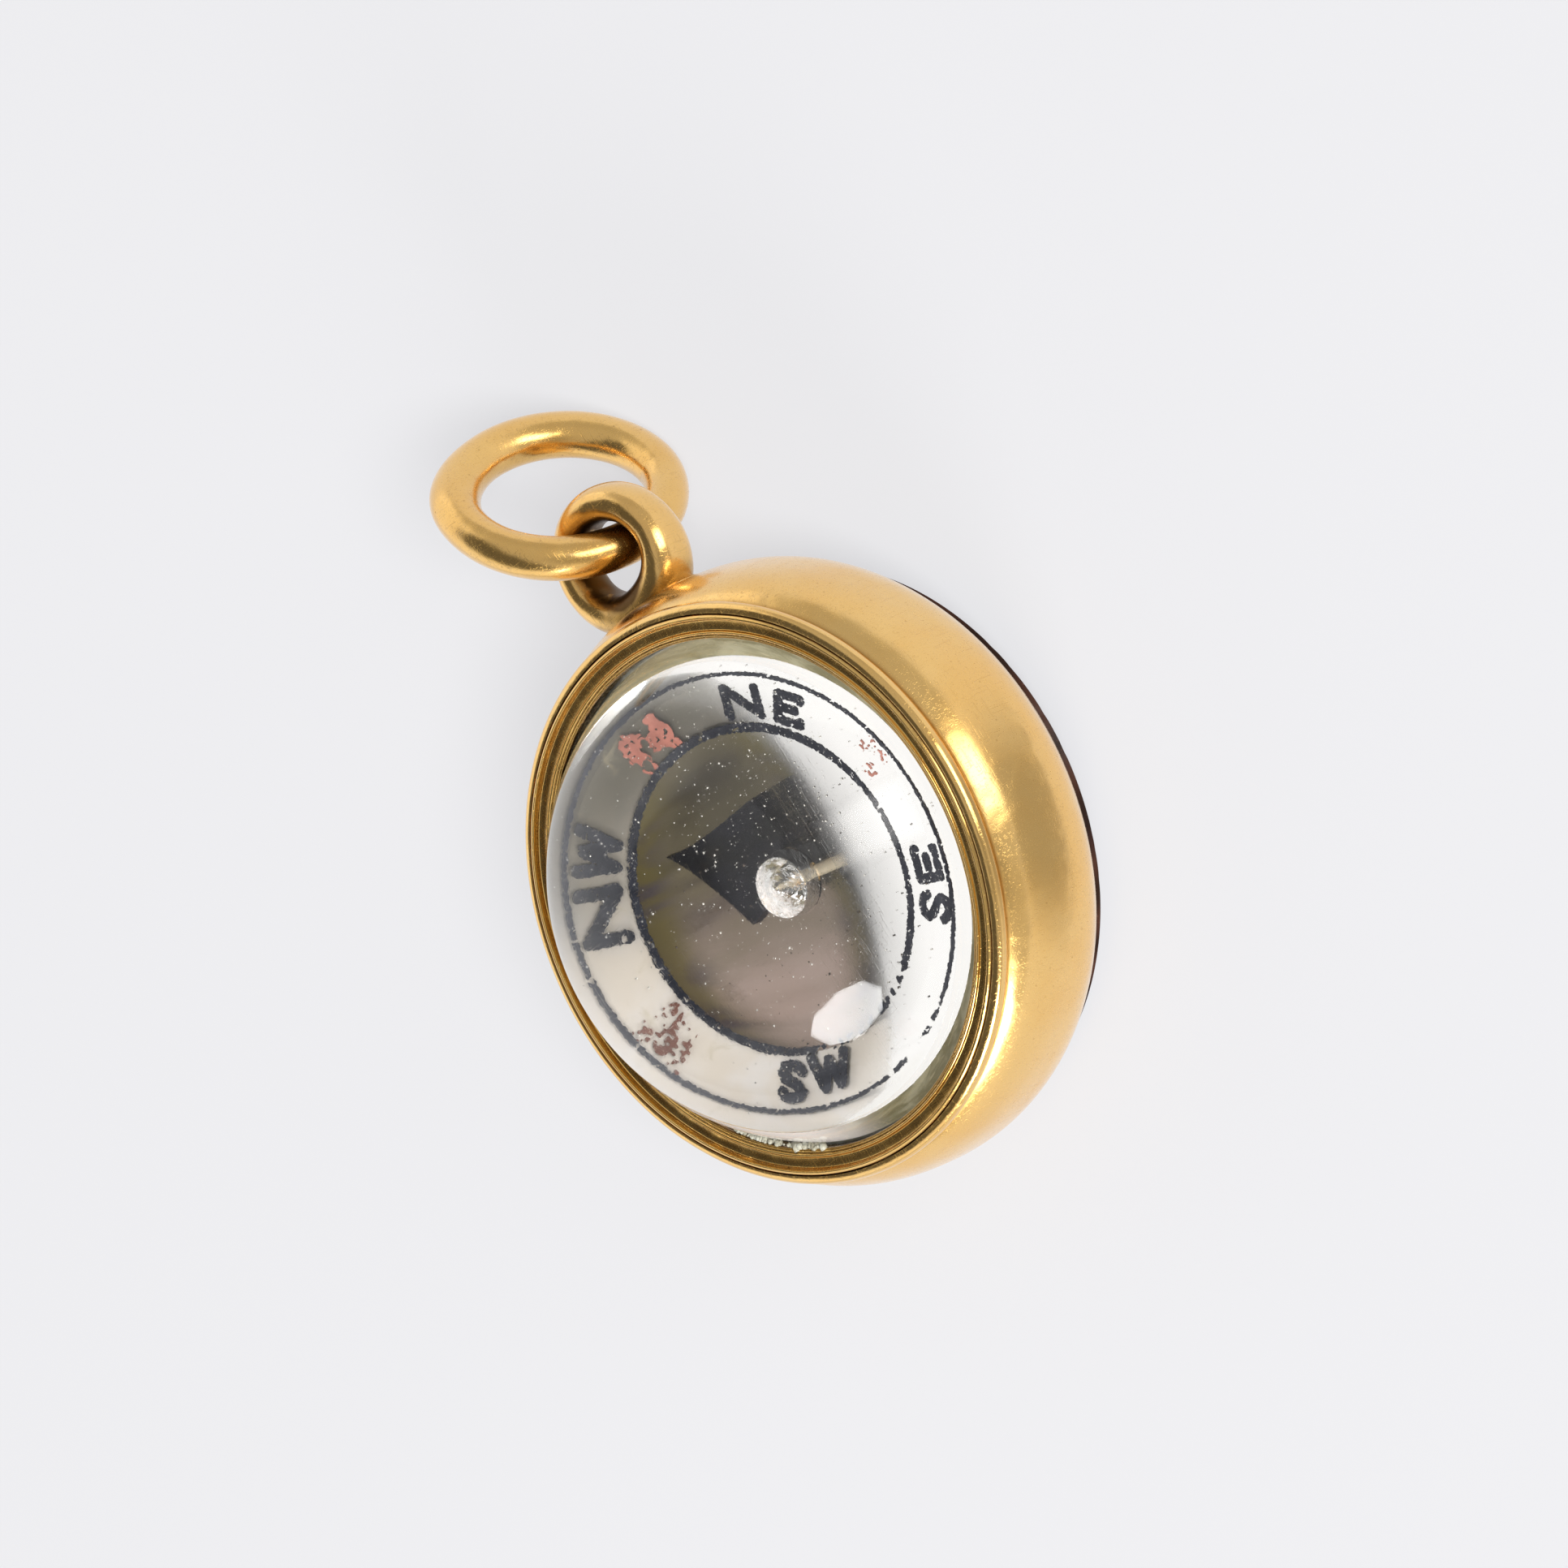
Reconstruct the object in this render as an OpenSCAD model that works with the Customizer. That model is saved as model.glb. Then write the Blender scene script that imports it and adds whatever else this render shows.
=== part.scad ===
// Small gold compass charm: rounded case, solid glass dome, hardstone back, eye and bow ring.
// The origin is the centre of the stone's flat back. +Z points to the dome, +Y to the pendant eye.

/* [Case] */
// Largest radius of the rounded case
case_r = 9.92; // [9:0.01:12]
// Height of the largest radius above the flat back
case_mid_z = 2.71; // [2.4:0.01:3]
// Height of the flat top edge that carries the collar
case_top_z = 5.2; // [5:0.01:5.5]
// Radial width of the rounded side
side_w = 2.62; // [2.4:0.01:3]
// Height that the rounded side would reach above its middle
side_up = 3; // [2.9:0.01:3.3]
// Depth that the rounded side would reach below its middle
side_down = 2.65; // [2.5:0.01:3]
// Thickness of the gold wall
wall = 0.42; // [0.3:0.01:0.5]

/* [Stone back] */
// Distance from the case's largest radius in to the stone's widest edge
stone_in = 0.72; // [0.4:0.01:0.9]
// Width of the bevel round the stone's flat back
stone_bevel = 0.55; // [0.2:0.01:0.9]
// Width of the small bevel above the stone's widest edge
stone_top_bevel = 0.11; // [0.02:0.01:0.3]
// Height of the stone's widest edge
stone_edge_z = 0.45; // [0.3:0.01:0.6]
// Thickness of the stone
stone_t = 0.65; // [0.61:0.01:0.9]
// Thickness of the cement bed between the stone and the backing plate
cement_t = 0.1; // [0.05:0.01:0.15]
// Thickness of the gold backing plate
plate_t = 0.2; // [0.15:0.01:0.3]
// Width of the case's lower edge outside the backing plate
plate_margin = 0.52; // [0.4:0.01:0.7]

/* [Collar and bezel] */
// Distance from the largest radius in to the bezel's lip
front_w = 1.76; // [1.7:0.01:2.1]
// Radial width of the bezel ring
bezel_w = 0.81; // [0.7:0.01:0.85]
// Radius of the bead that the collar ends in
bead_r = 0.27; // [0.2:0.01:0.3]
// Height of the collar's seam line above the case's top edge
collar_h = 0.55; // [0.5:0.01:0.6]
// Thickness of the collar's flange under the bezel
flange_t = 0.15; // [0.1:0.01:0.2]
// Depth of the bezel's skirt below the collar's flange
skirt_h = 0.25; // [0.15:0.01:0.28]
// Thickness of the bezel's skirt
skirt_t = 0.22; // [0.15:0.01:0.25]

/* [Glass dome] */
// Height of the dome above its widest edge
dome_h = 6.22; // [5:0.01:6.5]
// Depth of the glass's widest edge below the case's top edge
glass_edge_drop = 0.29; // [0.27:0.01:0.35]
// Depth of the bevel below the widest edge
glass_bevel_h = 1.3; // [1.2:0.01:1.4]
// Width of the bevel in from the widest edge
glass_bevel_w = 2.23; // [2:0.01:2.4]
// Radius of the conical pit in the middle of the underside
pit_r = 0.75; // [0.6:0.01:0.9]
// Depth of the pit
pit_h = 0.77; // [0.6:0.01:0.9]

/* [Compass well] */
// Reach of the needle's north tip from the middle
needle_r = 3.38; // [2.8:0.01:3.6]
// Thickness of the needle
needle_t = 0.12; // [0.08:0.01:0.2]
// Distance of the needle below the glass
needle_drop = 0.39; // [0.35:0.01:0.6]
// Half the width of the arrow head across its barbs
barb_w = 1.24; // [0.9:0.01:1.5]
// Direction of the north tip, turned from +X
needle_angle = 146.8; // [0:0.1:360]
// Reach of the silvered plate past the edge of the glass's flat
dial_reach = 0.23; // [0.1:0.01:0.3]
// Thickness of the silvered plate
dial_t = 0.2; // [0.1:0.01:0.25]
// Share of the silvered plate's width that overhangs the well
well_share = 0.46; // [0.35:0.01:0.5]
// Thickness of the cup's wall, floor and flange
cup_t = 0.3; // [0.2:0.01:0.35]
// Thickness of the disc on the cup's floor
floor_t = 0.1; // [0.05:0.01:0.2]
// Radius of the lower bearing post
post_r = 0.55; // [0.4:0.01:0.7]
// Height of the lower bearing post
post_h = 0.6; // [0.4:0.01:0.7]
// Radius of the needle's staff
staff_r = 0.14; // [0.1:0.01:0.18]
// Radius of the collet that grips the needle
collet_r = 0.42; // [0.35:0.01:0.6]

/* [Pendant eye and bow] */
// Radius of the bow ring's centre line
bow_r = 3.29; // [3:0.01:3.8]
// Radius of the bow ring's wire
bow_wire_r = 0.71; // [0.6:0.01:0.75]
// Extra radius of the eye's hole beyond the bow's wire
eye_play = 0.54; // [0.52:0.01:0.7]
// Half the radial thickness of the eye
eye_half_w = 0.6; // [0.5:0.01:0.65]
// Half the thickness of the eye from front to back
eye_half_t = 0.8; // [0.6:0.01:0.84]
// Distance of the eye's hole from the case
eye_foot = 0.32; // [0.2:0.01:0.5]
// Height of the eye's middle above the flat back
eye_z = 2.9; // [2.7:0.01:3.1]
// Direction from the eye's middle to where the bow loops round it, turned from +X
link_angle = 118.1; // [116:0.1:120]
// Angle that the bow hangs below the plane of the eye
bow_drop_angle = 31.5; // [28:0.1:34]
// Play between the bow's inside and the eye's outer side
bow_play = 0.18; // [0.14:0.01:0.22]
// Thickness of the solder saddle under the eye's feet
saddle_t = 0.1; // [0.05:0.01:0.15]
// Width of the solder saddle's edge round the eye's feet
saddle_w = 0.14; // [0.06:0.01:0.2]

/* [Hidden] */

// Gap between pieces that are pushed or laid together
fit = 0.01;
// Gap round the pieces that turn
running_gap = 0.04;
// Overrun of a cut past the face it opens
over = 0.2;
// Fineness of the round surfaces
$fn = 96;
// Steps along the case's rounded side, and round the eye's section
side_steps = 36;
eye_steps = 40;
// Roundness of the case above and below its middle, where 2 is an ellipse
side_up_power = 2.7;
side_down_power = 2.3;
// Roundness of the eye's section
eye_power = 2.2;

stone_r = case_r - stone_in;

// Places up through the case
plate_z = stone_t + cement_t;
cup_z = plate_z + plate_t;
glass_edge_z = case_top_z - glass_edge_drop;
glass_flat_z = glass_edge_z - glass_bevel_h;
// Air gap between the silvered plate and the painted underside of the glass
dial_gap = 0.05;
dial_z = glass_flat_z - dial_gap - dial_t;
// Height of the step that carries the silvered plate above the cup's flange
step_h = 0.31;
cup_top_z = dial_z - step_h;
floor_z = cup_z + cup_t;
post_z = floor_z + floor_t;
needle_z = glass_flat_z - needle_drop - needle_t;
collar_z = case_top_z + flange_t;
seam_z = case_top_z + collar_h;
pit_z = glass_flat_z + pit_h;

// Share of the bezel's rise at which its lip turns under
lip_low_share = 0.25;

// Radii from the lip outwards
lip_r = case_r - front_w;
glass_r = lip_r - fit;
glass_flat_r = glass_r - glass_bevel_w;
// Bezel skirt stands this far behind the lip
lip_back = 0.05;
skirt_in_r = lip_r + lip_back;
opening_r = skirt_in_r + skirt_t + 2 * fit;
bezel_r = lip_r + bezel_w;
collar_in_r = bezel_r + fit;
// Middle of the collar's bead, out from the seam line
bead_shift = 0.07;
bead_mid_r = collar_in_r + bead_shift;
// Outer foot of the bead, out from its middle
bead_foot = 0.07;
// Cement under the plate stops this far inside the plate's opening
cement_in = 0.1;
plate_r = case_r - side_w + side_w * pow(1 - pow((case_mid_z - stone_t) / side_down, side_down_power),
    1 / side_down_power) - plate_margin;

// Well and seat radii
// Gap between the needle's north tip and the silvered plate's opening
needle_tip_gap = 0.27;
dial_open_r = needle_r + needle_tip_gap;
dial_r = glass_flat_r + dial_reach;
cup_in_r = dial_open_r + well_share * (dial_r - dial_open_r);
// Gap between the glass seat and the bezel's skirt
seat_back = 0.05;
seat_r = opening_r - seat_back;
// Width of the step under the silvered plate's edge
step_w = 0.55;
// Width of the cement bed outside the glass seat
bed_w = 0.78;
// Depth of the cement bed under the glass's bevel
bed_t = 0.33;
// Gap between the glass's bevel and its seat
seat_gap = 0.05;
bed_gap = 0.02;

// Sphere that the dome is a cap of
dome_r = (glass_r * glass_r + dome_h * dome_h) / (2 * dome_h);

// Eye and bow
eye_bore_r = bow_wire_r + eye_play;
eye_r = eye_bore_r + eye_half_w;
eye_y = case_r + eye_foot + eye_bore_r;
bow_offset = bow_r - bow_wire_r - eye_half_w - bow_play;
// Tilt of the bow's own axis from +Z, and its turn from +X
bow_tilt = 74;
bow_turn = 39.2;

// Lower bearing: foot radius as a share of the post's, and depth of its cone as a share of its height
post_foot_share = 0.5;
post_cone_share = 0.33;

// Needle outline, and the staff and collet on its axis
barb_x = 1.6;
neck_x = 1.12;
neck_w = 0.3;
barb_root_w = 0.6;
tail_w = 0.62;
tail_x = 0.9;
tail_short = 0.13;
tail_r = needle_r - tail_short;
hub_r = 0.68;
boss_r = 0.24;
boss_rise = 0.08;
pivot_tip_r = 0.04;
pit_pivot_r = 0.02;
pivot_h = 0.45;
collet_h = 0.16;

// Height of the glass's bevel above a radius
function bevel_z(r) = glass_flat_z + (r - glass_flat_r) * glass_bevel_h / glass_bevel_w;

// Points of the case's rounded side from its bottom to its top, grown outwards by g
function side_points(g) = [
    for (i = [0 : side_steps])
        let (t = -90 + 180 * i / side_steps, up = t >= 0,
            h = (up ? side_up : side_down) + g, p = up ? side_up_power : side_down_power)
        [case_r - side_w + (side_w + g) * pow(cos(t), 2 / p),
            case_mid_z + sign(t) * h * pow(abs(sin(t)), 2 / p)]
];

// Arc points about [x, y] from angle a to angle b
function arc(x, y, r, a, b, steps) = [
    for (i = [0 : steps]) let (t = a + (b - a) * i / steps) [x + r * cos(t), y + r * sin(t)]
];

// Solid puck with the case's rounded side
module case_blank(g) {
    pts = side_points(g);
    rotate_extrude() polygon(concat([[0, pts[0].y]], pts, [[0, pts[len(pts) - 1].y]]));
}

module ring(z, h, inner, outer) {
    translate([0, 0, z]) difference() {
        cylinder(h = h, r = outer);
        translate([0, 0, -over]) cylinder(h = h + 2 * over, r = inner);
    }
}

module back_stone() {
    color([0.09, 0.06, 0.05]) {
        cylinder(h = stone_edge_z, r1 = stone_r - stone_bevel, r2 = stone_r);
        translate([0, 0, stone_edge_z])
            cylinder(h = stone_t - stone_edge_z, r1 = stone_r, r2 = stone_r - stone_top_bevel);
    }
}

module stone_cement() {
    color([0.72, 0.66, 0.55]) translate([0, 0, stone_t]) cylinder(h = cement_t, r = plate_r - cement_in);
}

module backing_plate() {
    color([0.8, 0.62, 0.32]) translate([0, 0, plate_z]) cylinder(h = plate_t, r = plate_r - fit);
}

module case_body() {
    color([0.85, 0.65, 0.33]) difference() {
        intersection() {
            case_blank(0);
            translate([0, 0, stone_t]) cylinder(h = case_top_z - stone_t, r = case_r + over);
        }
        intersection() {
            case_blank(-wall);
            translate([0, 0, cup_z]) cylinder(h = case_top_z - wall - cup_z, r = case_r);
        }
        translate([0, 0, stone_t - over]) cylinder(h = plate_t + cement_t + over, r = plate_r);
        translate([0, 0, case_top_z - wall - over])
            cylinder(h = wall + 2 * over, r = opening_r);
    }
}

module front_collar() {
    bead_z = seam_z - bead_r;
    foot_r = bead_mid_r + bead_foot;
    color([0.88, 0.69, 0.38]) rotate_extrude() polygon(concat(
        [[opening_r, case_top_z], [foot_r, case_top_z]],
        arc(bead_mid_r, bead_z, bead_r, -70, 100, 20),
        [[collar_in_r, seam_z - bead_shift], [collar_in_r, collar_z], [opening_r, collar_z]]
    ));
}

// Heights and reaches of the bezel's steps, as shares of its width and of its height over the seam
bezel_step_shares = [
    [1, 0.9], [0.97, 1.06], [0.87, 1.2], [0.79, 1.12], [0.71, 0.8], [0.57, 0.5], [0.42, 0.42],
    [0.32, 0.58], [0.25, 0.78], [0.15, 0.73], [0.11, 0.58], [0.09, 0.66], [0.06, 0.54],
    [0.03, 0.62], [0, 0.5]
];

module front_bezel() {
    rise = collar_h - flange_t;
    color([0.84, 0.66, 0.36]) rotate_extrude() polygon(concat(
        [[skirt_in_r, case_top_z - skirt_h], [skirt_in_r + skirt_t, case_top_z - skirt_h],
            [skirt_in_r + skirt_t, collar_z], [bezel_r, collar_z]],
        [for (s = bezel_step_shares) [lip_r + bezel_w * s.x, collar_z + rise * s.y]],
        [[lip_r, collar_z + rise * lip_low_share], [skirt_in_r, collar_z]]
    ));
}

module crystal() {
    color([0.86, 0.9, 0.88, 0.4]) difference() {
        intersection() {
            translate([0, 0, glass_edge_z + dome_h - dome_r]) sphere(r = dome_r);
            union() {
                translate([0, 0, glass_flat_z])
                    cylinder(h = glass_bevel_h, r1 = glass_flat_r, r2 = glass_r);
                translate([0, 0, glass_edge_z]) cylinder(h = dome_h + over, r = glass_r);
            }
        }
        translate([0, 0, glass_flat_z]) cylinder(h = pit_h, r1 = pit_r, r2 = pivot_tip_r);
    }
}

module crystal_cement() {
    bed_in_r = seat_r - bed_w;
    bed_z = bevel_z(bed_in_r) - bed_t;
    color([0.75, 0.72, 0.62]) rotate_extrude() polygon([
        [bed_in_r, bed_z], [seat_r, bed_z], [seat_r, glass_edge_z + fit],
        [glass_r + bed_gap, glass_edge_z + fit], [glass_r + bed_gap, glass_edge_z - bed_gap],
        [bed_in_r, bevel_z(bed_in_r) - bed_gap]
    ]);
}

module crystal_seat() {
    bed_in_r = seat_r - bed_w;
    bed_z = bevel_z(bed_in_r) - bed_t;
    in_r = dial_r + seat_gap;
    step_r = in_r - step_w;
    color([0.7, 0.58, 0.32]) rotate_extrude() polygon([
        [step_r, cup_top_z], [seat_r, cup_top_z], [seat_r, bed_z], [bed_in_r - fit, bed_z],
        [bed_in_r - fit, bevel_z(bed_in_r) - seat_gap], [in_r, bevel_z(in_r) - seat_gap],
        [in_r, dial_z], [step_r, dial_z]
    ]);
}

module dial_plate() {
    color([0.86, 0.83, 0.74]) ring(dial_z, dial_t, dial_open_r, dial_r);
}

module chamber_cup() {
    out_r = cup_in_r + cup_t;
    color([0.55, 0.45, 0.2]) difference() {
        union() {
            translate([0, 0, cup_z]) cylinder(h = cup_top_z - cup_z, r = out_r);
            translate([0, 0, cup_top_z - cup_t]) cylinder(h = cup_t, r = seat_r);
        }
        translate([0, 0, floor_z]) cylinder(h = cup_top_z, r = cup_in_r);
    }
}

module chamber_floor() {
    color([0.5, 0.4, 0.34])
        ring(floor_z, floor_t, post_r * post_foot_share + fit, cup_in_r - fit);
}

module lower_bearing() {
    foot_r = post_r * post_foot_share;
    cone_h = post_h * post_cone_share;
    color([0.75, 0.6, 0.3]) difference() {
        union() {
            translate([0, 0, floor_z]) cylinder(h = floor_t + post_h / 2, r = foot_r);
            translate([0, 0, post_z]) cylinder(h = post_h / 2, r1 = post_r, r2 = foot_r);
            translate([0, 0, post_z + post_h / 2]) cylinder(h = post_h / 2, r = foot_r);
        }
        translate([0, 0, post_z + post_h - cone_h])
            cylinder(h = cone_h + over, r1 = pivot_tip_r + running_gap,
                r2 = (staff_r + running_gap) * (cone_h + over) / cone_h);
    }
}

module needle_staff() {
    cone_h = post_h * post_cone_share;
    low_z = post_z + post_h - cone_h + running_gap;
    high_z = pit_z - running_gap;
    color([0.78, 0.62, 0.32]) {
        translate([0, 0, low_z]) cylinder(h = pivot_h, r1 = pivot_tip_r, r2 = staff_r);
        translate([0, 0, low_z + pivot_h]) cylinder(h = high_z - low_z - 2 * pivot_h, r = staff_r);
        translate([0, 0, high_z - pivot_h]) cylinder(h = pivot_h, r1 = staff_r, r2 = pit_pivot_r);
    }
}

module needle_collet() {
    color([0.7, 0.55, 0.28]) difference() {
        union() {
            translate([0, 0, needle_z - collet_h]) cylinder(h = collet_h - fit, r = collet_r);
            translate([0, 0, needle_z - collet_h])
                cylinder(h = collet_h + needle_t + boss_rise, r = boss_r);
        }
        translate([0, 0, needle_z - collet_h - over])
            cylinder(h = 2 * over + 2 * collet_h + needle_t, r = staff_r + fit);
    }
}

module needle() {
    head = [[needle_r, 0], [barb_x, barb_w], [neck_x, barb_root_w], [neck_x, neck_w]];
    tail = [[-tail_x, neck_w], [-tail_x, tail_w / 2], [-tail_r, 0]];
    side = concat(head, [for (p = tail) if (p.y > 0) p]);
    outline = concat(side, [tail[2]], [for (i = [len(side) - 1 : -1 : 1]) [side[i].x, -side[i].y]]);
    color([0.1, 0.1, 0.16]) translate([0, 0, needle_z]) rotate([0, 0, needle_angle]) difference() {
        linear_extrude(height = needle_t) union() {
            polygon(outline);
            circle(r = hub_r);
        }
        translate([0, 0, -over]) cylinder(h = needle_t + 2 * over, r = boss_r + fit);
    }
}

module pendant_eye() {
    color([0.86, 0.67, 0.36]) difference() {
        translate([0, eye_y, eye_z]) rotate_extrude() polygon([
            for (i = [0 : eye_steps - 1]) let (a = 360 * i / eye_steps)
                [eye_r + eye_half_w * sign(cos(a)) * pow(abs(cos(a)), 2 / eye_power),
                    eye_half_t * sign(sin(a)) * pow(abs(sin(a)), 2 / eye_power)]
        ]);
        case_blank(saddle_t);
    }
}

// Saddle of gold solder, hugging the case under the eye's two feet
module eye_saddle() {
    foot_y = case_r + saddle_t - eye_y;
    foot_x = sqrt(pow(eye_r + eye_half_w, 2) - foot_y * foot_y);
    pad_r = eye_half_t + saddle_w;
    pad_x = foot_x + saddle_w - pad_r;
    color([0.9, 0.75, 0.45]) difference() {
        intersection() {
            case_blank(saddle_t);
            translate([0, case_r + side_w, eye_z]) rotate([90, 0, 0])
                linear_extrude(height = 2 * side_w) union() {
                    for (side = [-1, 1]) translate([side * pad_x, 0]) circle(r = pad_r);
                    square([2 * pad_x, 2 * pad_r], center = true);
                }
        }
        case_blank(0);
    }
}

module bow_ring() {
    reach = eye_r + bow_offset * cos(bow_drop_angle);
    mid = [reach * cos(link_angle), eye_y + reach * sin(link_angle),
        eye_z - bow_offset * sin(bow_drop_angle)];
    color([0.87, 0.68, 0.37]) translate(mid) rotate([0, bow_tilt, bow_turn])
        rotate_extrude() translate([bow_r, 0]) circle(r = bow_wire_r);
}

back_stone();
stone_cement();
backing_plate();
case_body();
front_collar();
front_bezel();
crystal();
crystal_cement();
crystal_seat();
dial_plate();
chamber_cup();
chamber_floor();
lower_bearing();
needle_staff();
needle_collet();
needle();
pendant_eye();
eye_saddle();
bow_ring();
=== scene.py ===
"""Add-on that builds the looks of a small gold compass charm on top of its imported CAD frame.

The sidebar panel lists one operator for each piece or group of like pieces, and one for the
stage. Run as a script, it registers itself and runs them all in order.
"""

import functools
import math
import operator

import bmesh
import bpy
import numpy as np
from mathutils import Matrix, Vector


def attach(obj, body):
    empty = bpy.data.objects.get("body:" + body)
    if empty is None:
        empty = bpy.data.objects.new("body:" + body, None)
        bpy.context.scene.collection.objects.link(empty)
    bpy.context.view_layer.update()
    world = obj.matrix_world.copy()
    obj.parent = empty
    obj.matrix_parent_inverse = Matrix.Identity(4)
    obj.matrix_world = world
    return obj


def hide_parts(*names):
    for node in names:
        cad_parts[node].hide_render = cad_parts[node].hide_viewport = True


bl_info = {
    "name": "Compass charm looks",
    "version": (1, 0, 0),
    "blender": (4, 5, 0),
    "location": "View3D > Sidebar > Charm",
    "description": "Builds the gold compass charm, its materials and its stage",
    "category": "Object",
}

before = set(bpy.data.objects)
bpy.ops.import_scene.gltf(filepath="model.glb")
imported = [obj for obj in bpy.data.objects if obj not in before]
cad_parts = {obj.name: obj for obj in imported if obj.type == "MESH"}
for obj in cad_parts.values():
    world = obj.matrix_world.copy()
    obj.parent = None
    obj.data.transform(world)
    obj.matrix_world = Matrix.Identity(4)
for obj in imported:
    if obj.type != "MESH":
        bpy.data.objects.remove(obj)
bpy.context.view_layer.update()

# Millimetres to metres
MM = 0.001

# Sizes that several pieces share, in millimetres; heights are above the stone's flat back.
# The case's side is a superellipse about a spine, with one power above it and one below.
CASE_BACK, CASE_TOP, MOUTH_R = 0.65, 5.20, 8.45
CASE_SPINE, CASE_BULGE, CASE_MID = 7.30, 2.62, 2.71
CASE_UP, CASE_DOWN, POWER_UP, POWER_DOWN = 3.0, 2.65, 2.7, 2.3

# The dome is part of a ball and has a flat underside. The pit's mouth and the plate's hole
# sit a little to the left of the axis that the needle turns about.
DOME_R, DOME_MID = 8.4494, 2.6806
GLASS_R, GLASS_EDGE = 8.15, 4.91
FLAT_R, FLAT_Z = 5.90, 3.61
PIT_SHIFT, HOLE_SHIFT = (-0.36, 0.03), (-0.26, 0.04)

# Pendant eye and bow: middle, radius of the ring and of its wire, and where they are linked
EYE_MID, EYE_R = (0.0, 11.49, 2.90), 1.85
BOW_MID, BOW_AXIS = (-1.594, 14.476, 1.960), (0.7449, 0.6075, 0.2756)
BOW_R, BOW_WIRE = 3.29, 0.709
LINK = (-0.871, 13.122, 2.9)

# The charm lies on the stone's edge and on the bow's lowest place, so the table slopes
EDGE_Y, BOW_LOW_Y, BOW_DEPTH = -8.65, 15.05, 1.93
SLOPE = BOW_DEPTH / (BOW_LOW_Y - EDGE_Y)

# Directions, in degrees: the needle's tip, and the two ends of the grey flag on the table
NEEDLE_TURN = 146.8
FLAG_FROM, FLAG_TO = -64, 14

# Colour of the turned brass of the collet and the lower bearing
BRASS = (0.70, 0.46, 0.18)

# The camera looks down at the dial from a tilt to one side, and its own roll turns the picture.
# It stands CAMERA_AWAY metres from AIM, a place that lies between the dial and the bow.
TILT, SIDE, ROLL = math.radians(41.5), math.radians(-11.13), math.radians(-23.12)
LEAN = Vector((math.cos(SIDE), math.sin(SIDE), 0.0))
ACROSS = Vector((-math.sin(SIDE), math.cos(SIDE), 0.0))
ALONG = math.cos(TILT) * LEAN - math.sin(TILT) * Vector((0, 0, 1))
VIEW = math.sin(TILT) * LEAN + math.cos(TILT) * Vector((0, 0, 1))
RIGHT = math.cos(ROLL) * ALONG + math.sin(ROLL) * ACROSS
UP = -math.sin(ROLL) * ALONG + math.cos(ROLL) * ACROSS
AIM = (Vector((0, 0, 5.75)) + 2.096 * ALONG + 2.867 * ACROSS) * MM
CAMERA_AWAY = 0.4


# Sizes and colours


class CharmSettings(bpy.types.PropertyGroup):
    """Sizes, colours and lamp levels that the operators read."""

    around: bpy.props.IntProperty(
        name="Steps around", description="Faces around each turned piece", default=448, min=64)
    dent: bpy.props.FloatProperty(
        name="Dents", description="Depth of the wear dents in the gold, in millimetres",
        default=0.012, min=0.0, max=0.05)
    gold: bpy.props.FloatVectorProperty(
        name="Gold", description="Colour of the gold", subtype="COLOR", size=3,
        default=(0.93, 0.575, 0.17), min=0.0, max=1.0)
    # Dark gold: the colour of the tarnish from pits, scratches and age, and of the painted shade
    # in the gold's recesses
    gold_dark: bpy.props.FloatVectorProperty(
        name="Dark gold", description="Colour of the tarnish in the gold's recesses",
        subtype="COLOR", size=3, default=(0.34, 0.17, 0.045), min=0.0, max=1.0)
    ink: bpy.props.FloatVectorProperty(
        name="Ink", description="Colour of the black paint", subtype="COLOR", size=3,
        default=(0.012, 0.013, 0.018), min=0.0, max=1.0)
    coral: bpy.props.FloatVectorProperty(
        name="Coral", description="Colour of the red paint", subtype="COLOR", size=3,
        default=(0.22, 0.080, 0.058), min=0.0, max=1.0)
    line_out: bpy.props.FloatProperty(
        name="Outer circle width", description="Width of the outer painted circle, in millimetres",
        default=0.135, min=0.05, max=0.3)
    line_in: bpy.props.FloatProperty(
        name="Inner circle width", description="Width of the inner painted circle, in millimetres",
        default=0.19, min=0.05, max=0.4)
    letter_h: bpy.props.FloatProperty(
        name="Letter height", description="Height of the painted letters, in millimetres",
        default=1.04, min=0.5, max=1.2)
    stroke: bpy.props.FloatProperty(
        name="Letter stroke", description="Width of the letters' strokes, in millimetres",
        default=0.255, min=0.1, max=0.3)
    floor_level: bpy.props.FloatProperty(
        name="Floor level", description="Brightness of the floor in the picture", default=0.726)
    sky_level: bpy.props.FloatProperty(
        name="Sky level", description="Brightness of the studio's walls", default=0.54)
    lens: bpy.props.FloatProperty(
        name="Lens", description="Focal length in millimetres on a 36 mm sensor", default=298.1)


def settings():
    """The values in the sidebar."""
    return bpy.context.scene.charm_settings


# Seeded noise for shapes


def value_noise(x, y, scale, seed):
    """Smooth noise from 0 to 1 with features about scale wide; x and y are arrays."""
    n = 128  # cells after which the lattice repeats
    table = np.random.default_rng(seed).random((n, n))
    u, v = np.asarray(x) / scale, np.asarray(y) / scale
    i, j = np.floor(u).astype(int), np.floor(v).astype(int)
    fu, fv = u - i, v - j
    fu, fv = fu * fu * (3 - 2 * fu), fv * fv * (3 - 2 * fv)
    a, b = table[i % n, j % n], table[(i + 1) % n, j % n]
    c, d = table[i % n, (j + 1) % n], table[(i + 1) % n, (j + 1) % n]
    return (a * (1 - fu) + b * fu) * (1 - fv) + (c * (1 - fu) + d * fu) * fv


def ring_noise(theta, z, size, seed, radius=9.0):
    """Noise round a turned piece without a seam: theta in radians, z and size in millimetres."""
    x, y = radius * np.cos(theta), radius * np.sin(theta)
    one = value_noise(x + 31.7, y + 0.7 * z, size, seed)
    two = value_noise(y + 57.1, z - 0.6 * x, size, seed + 1)
    return 0.5 * (one + two)


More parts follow.
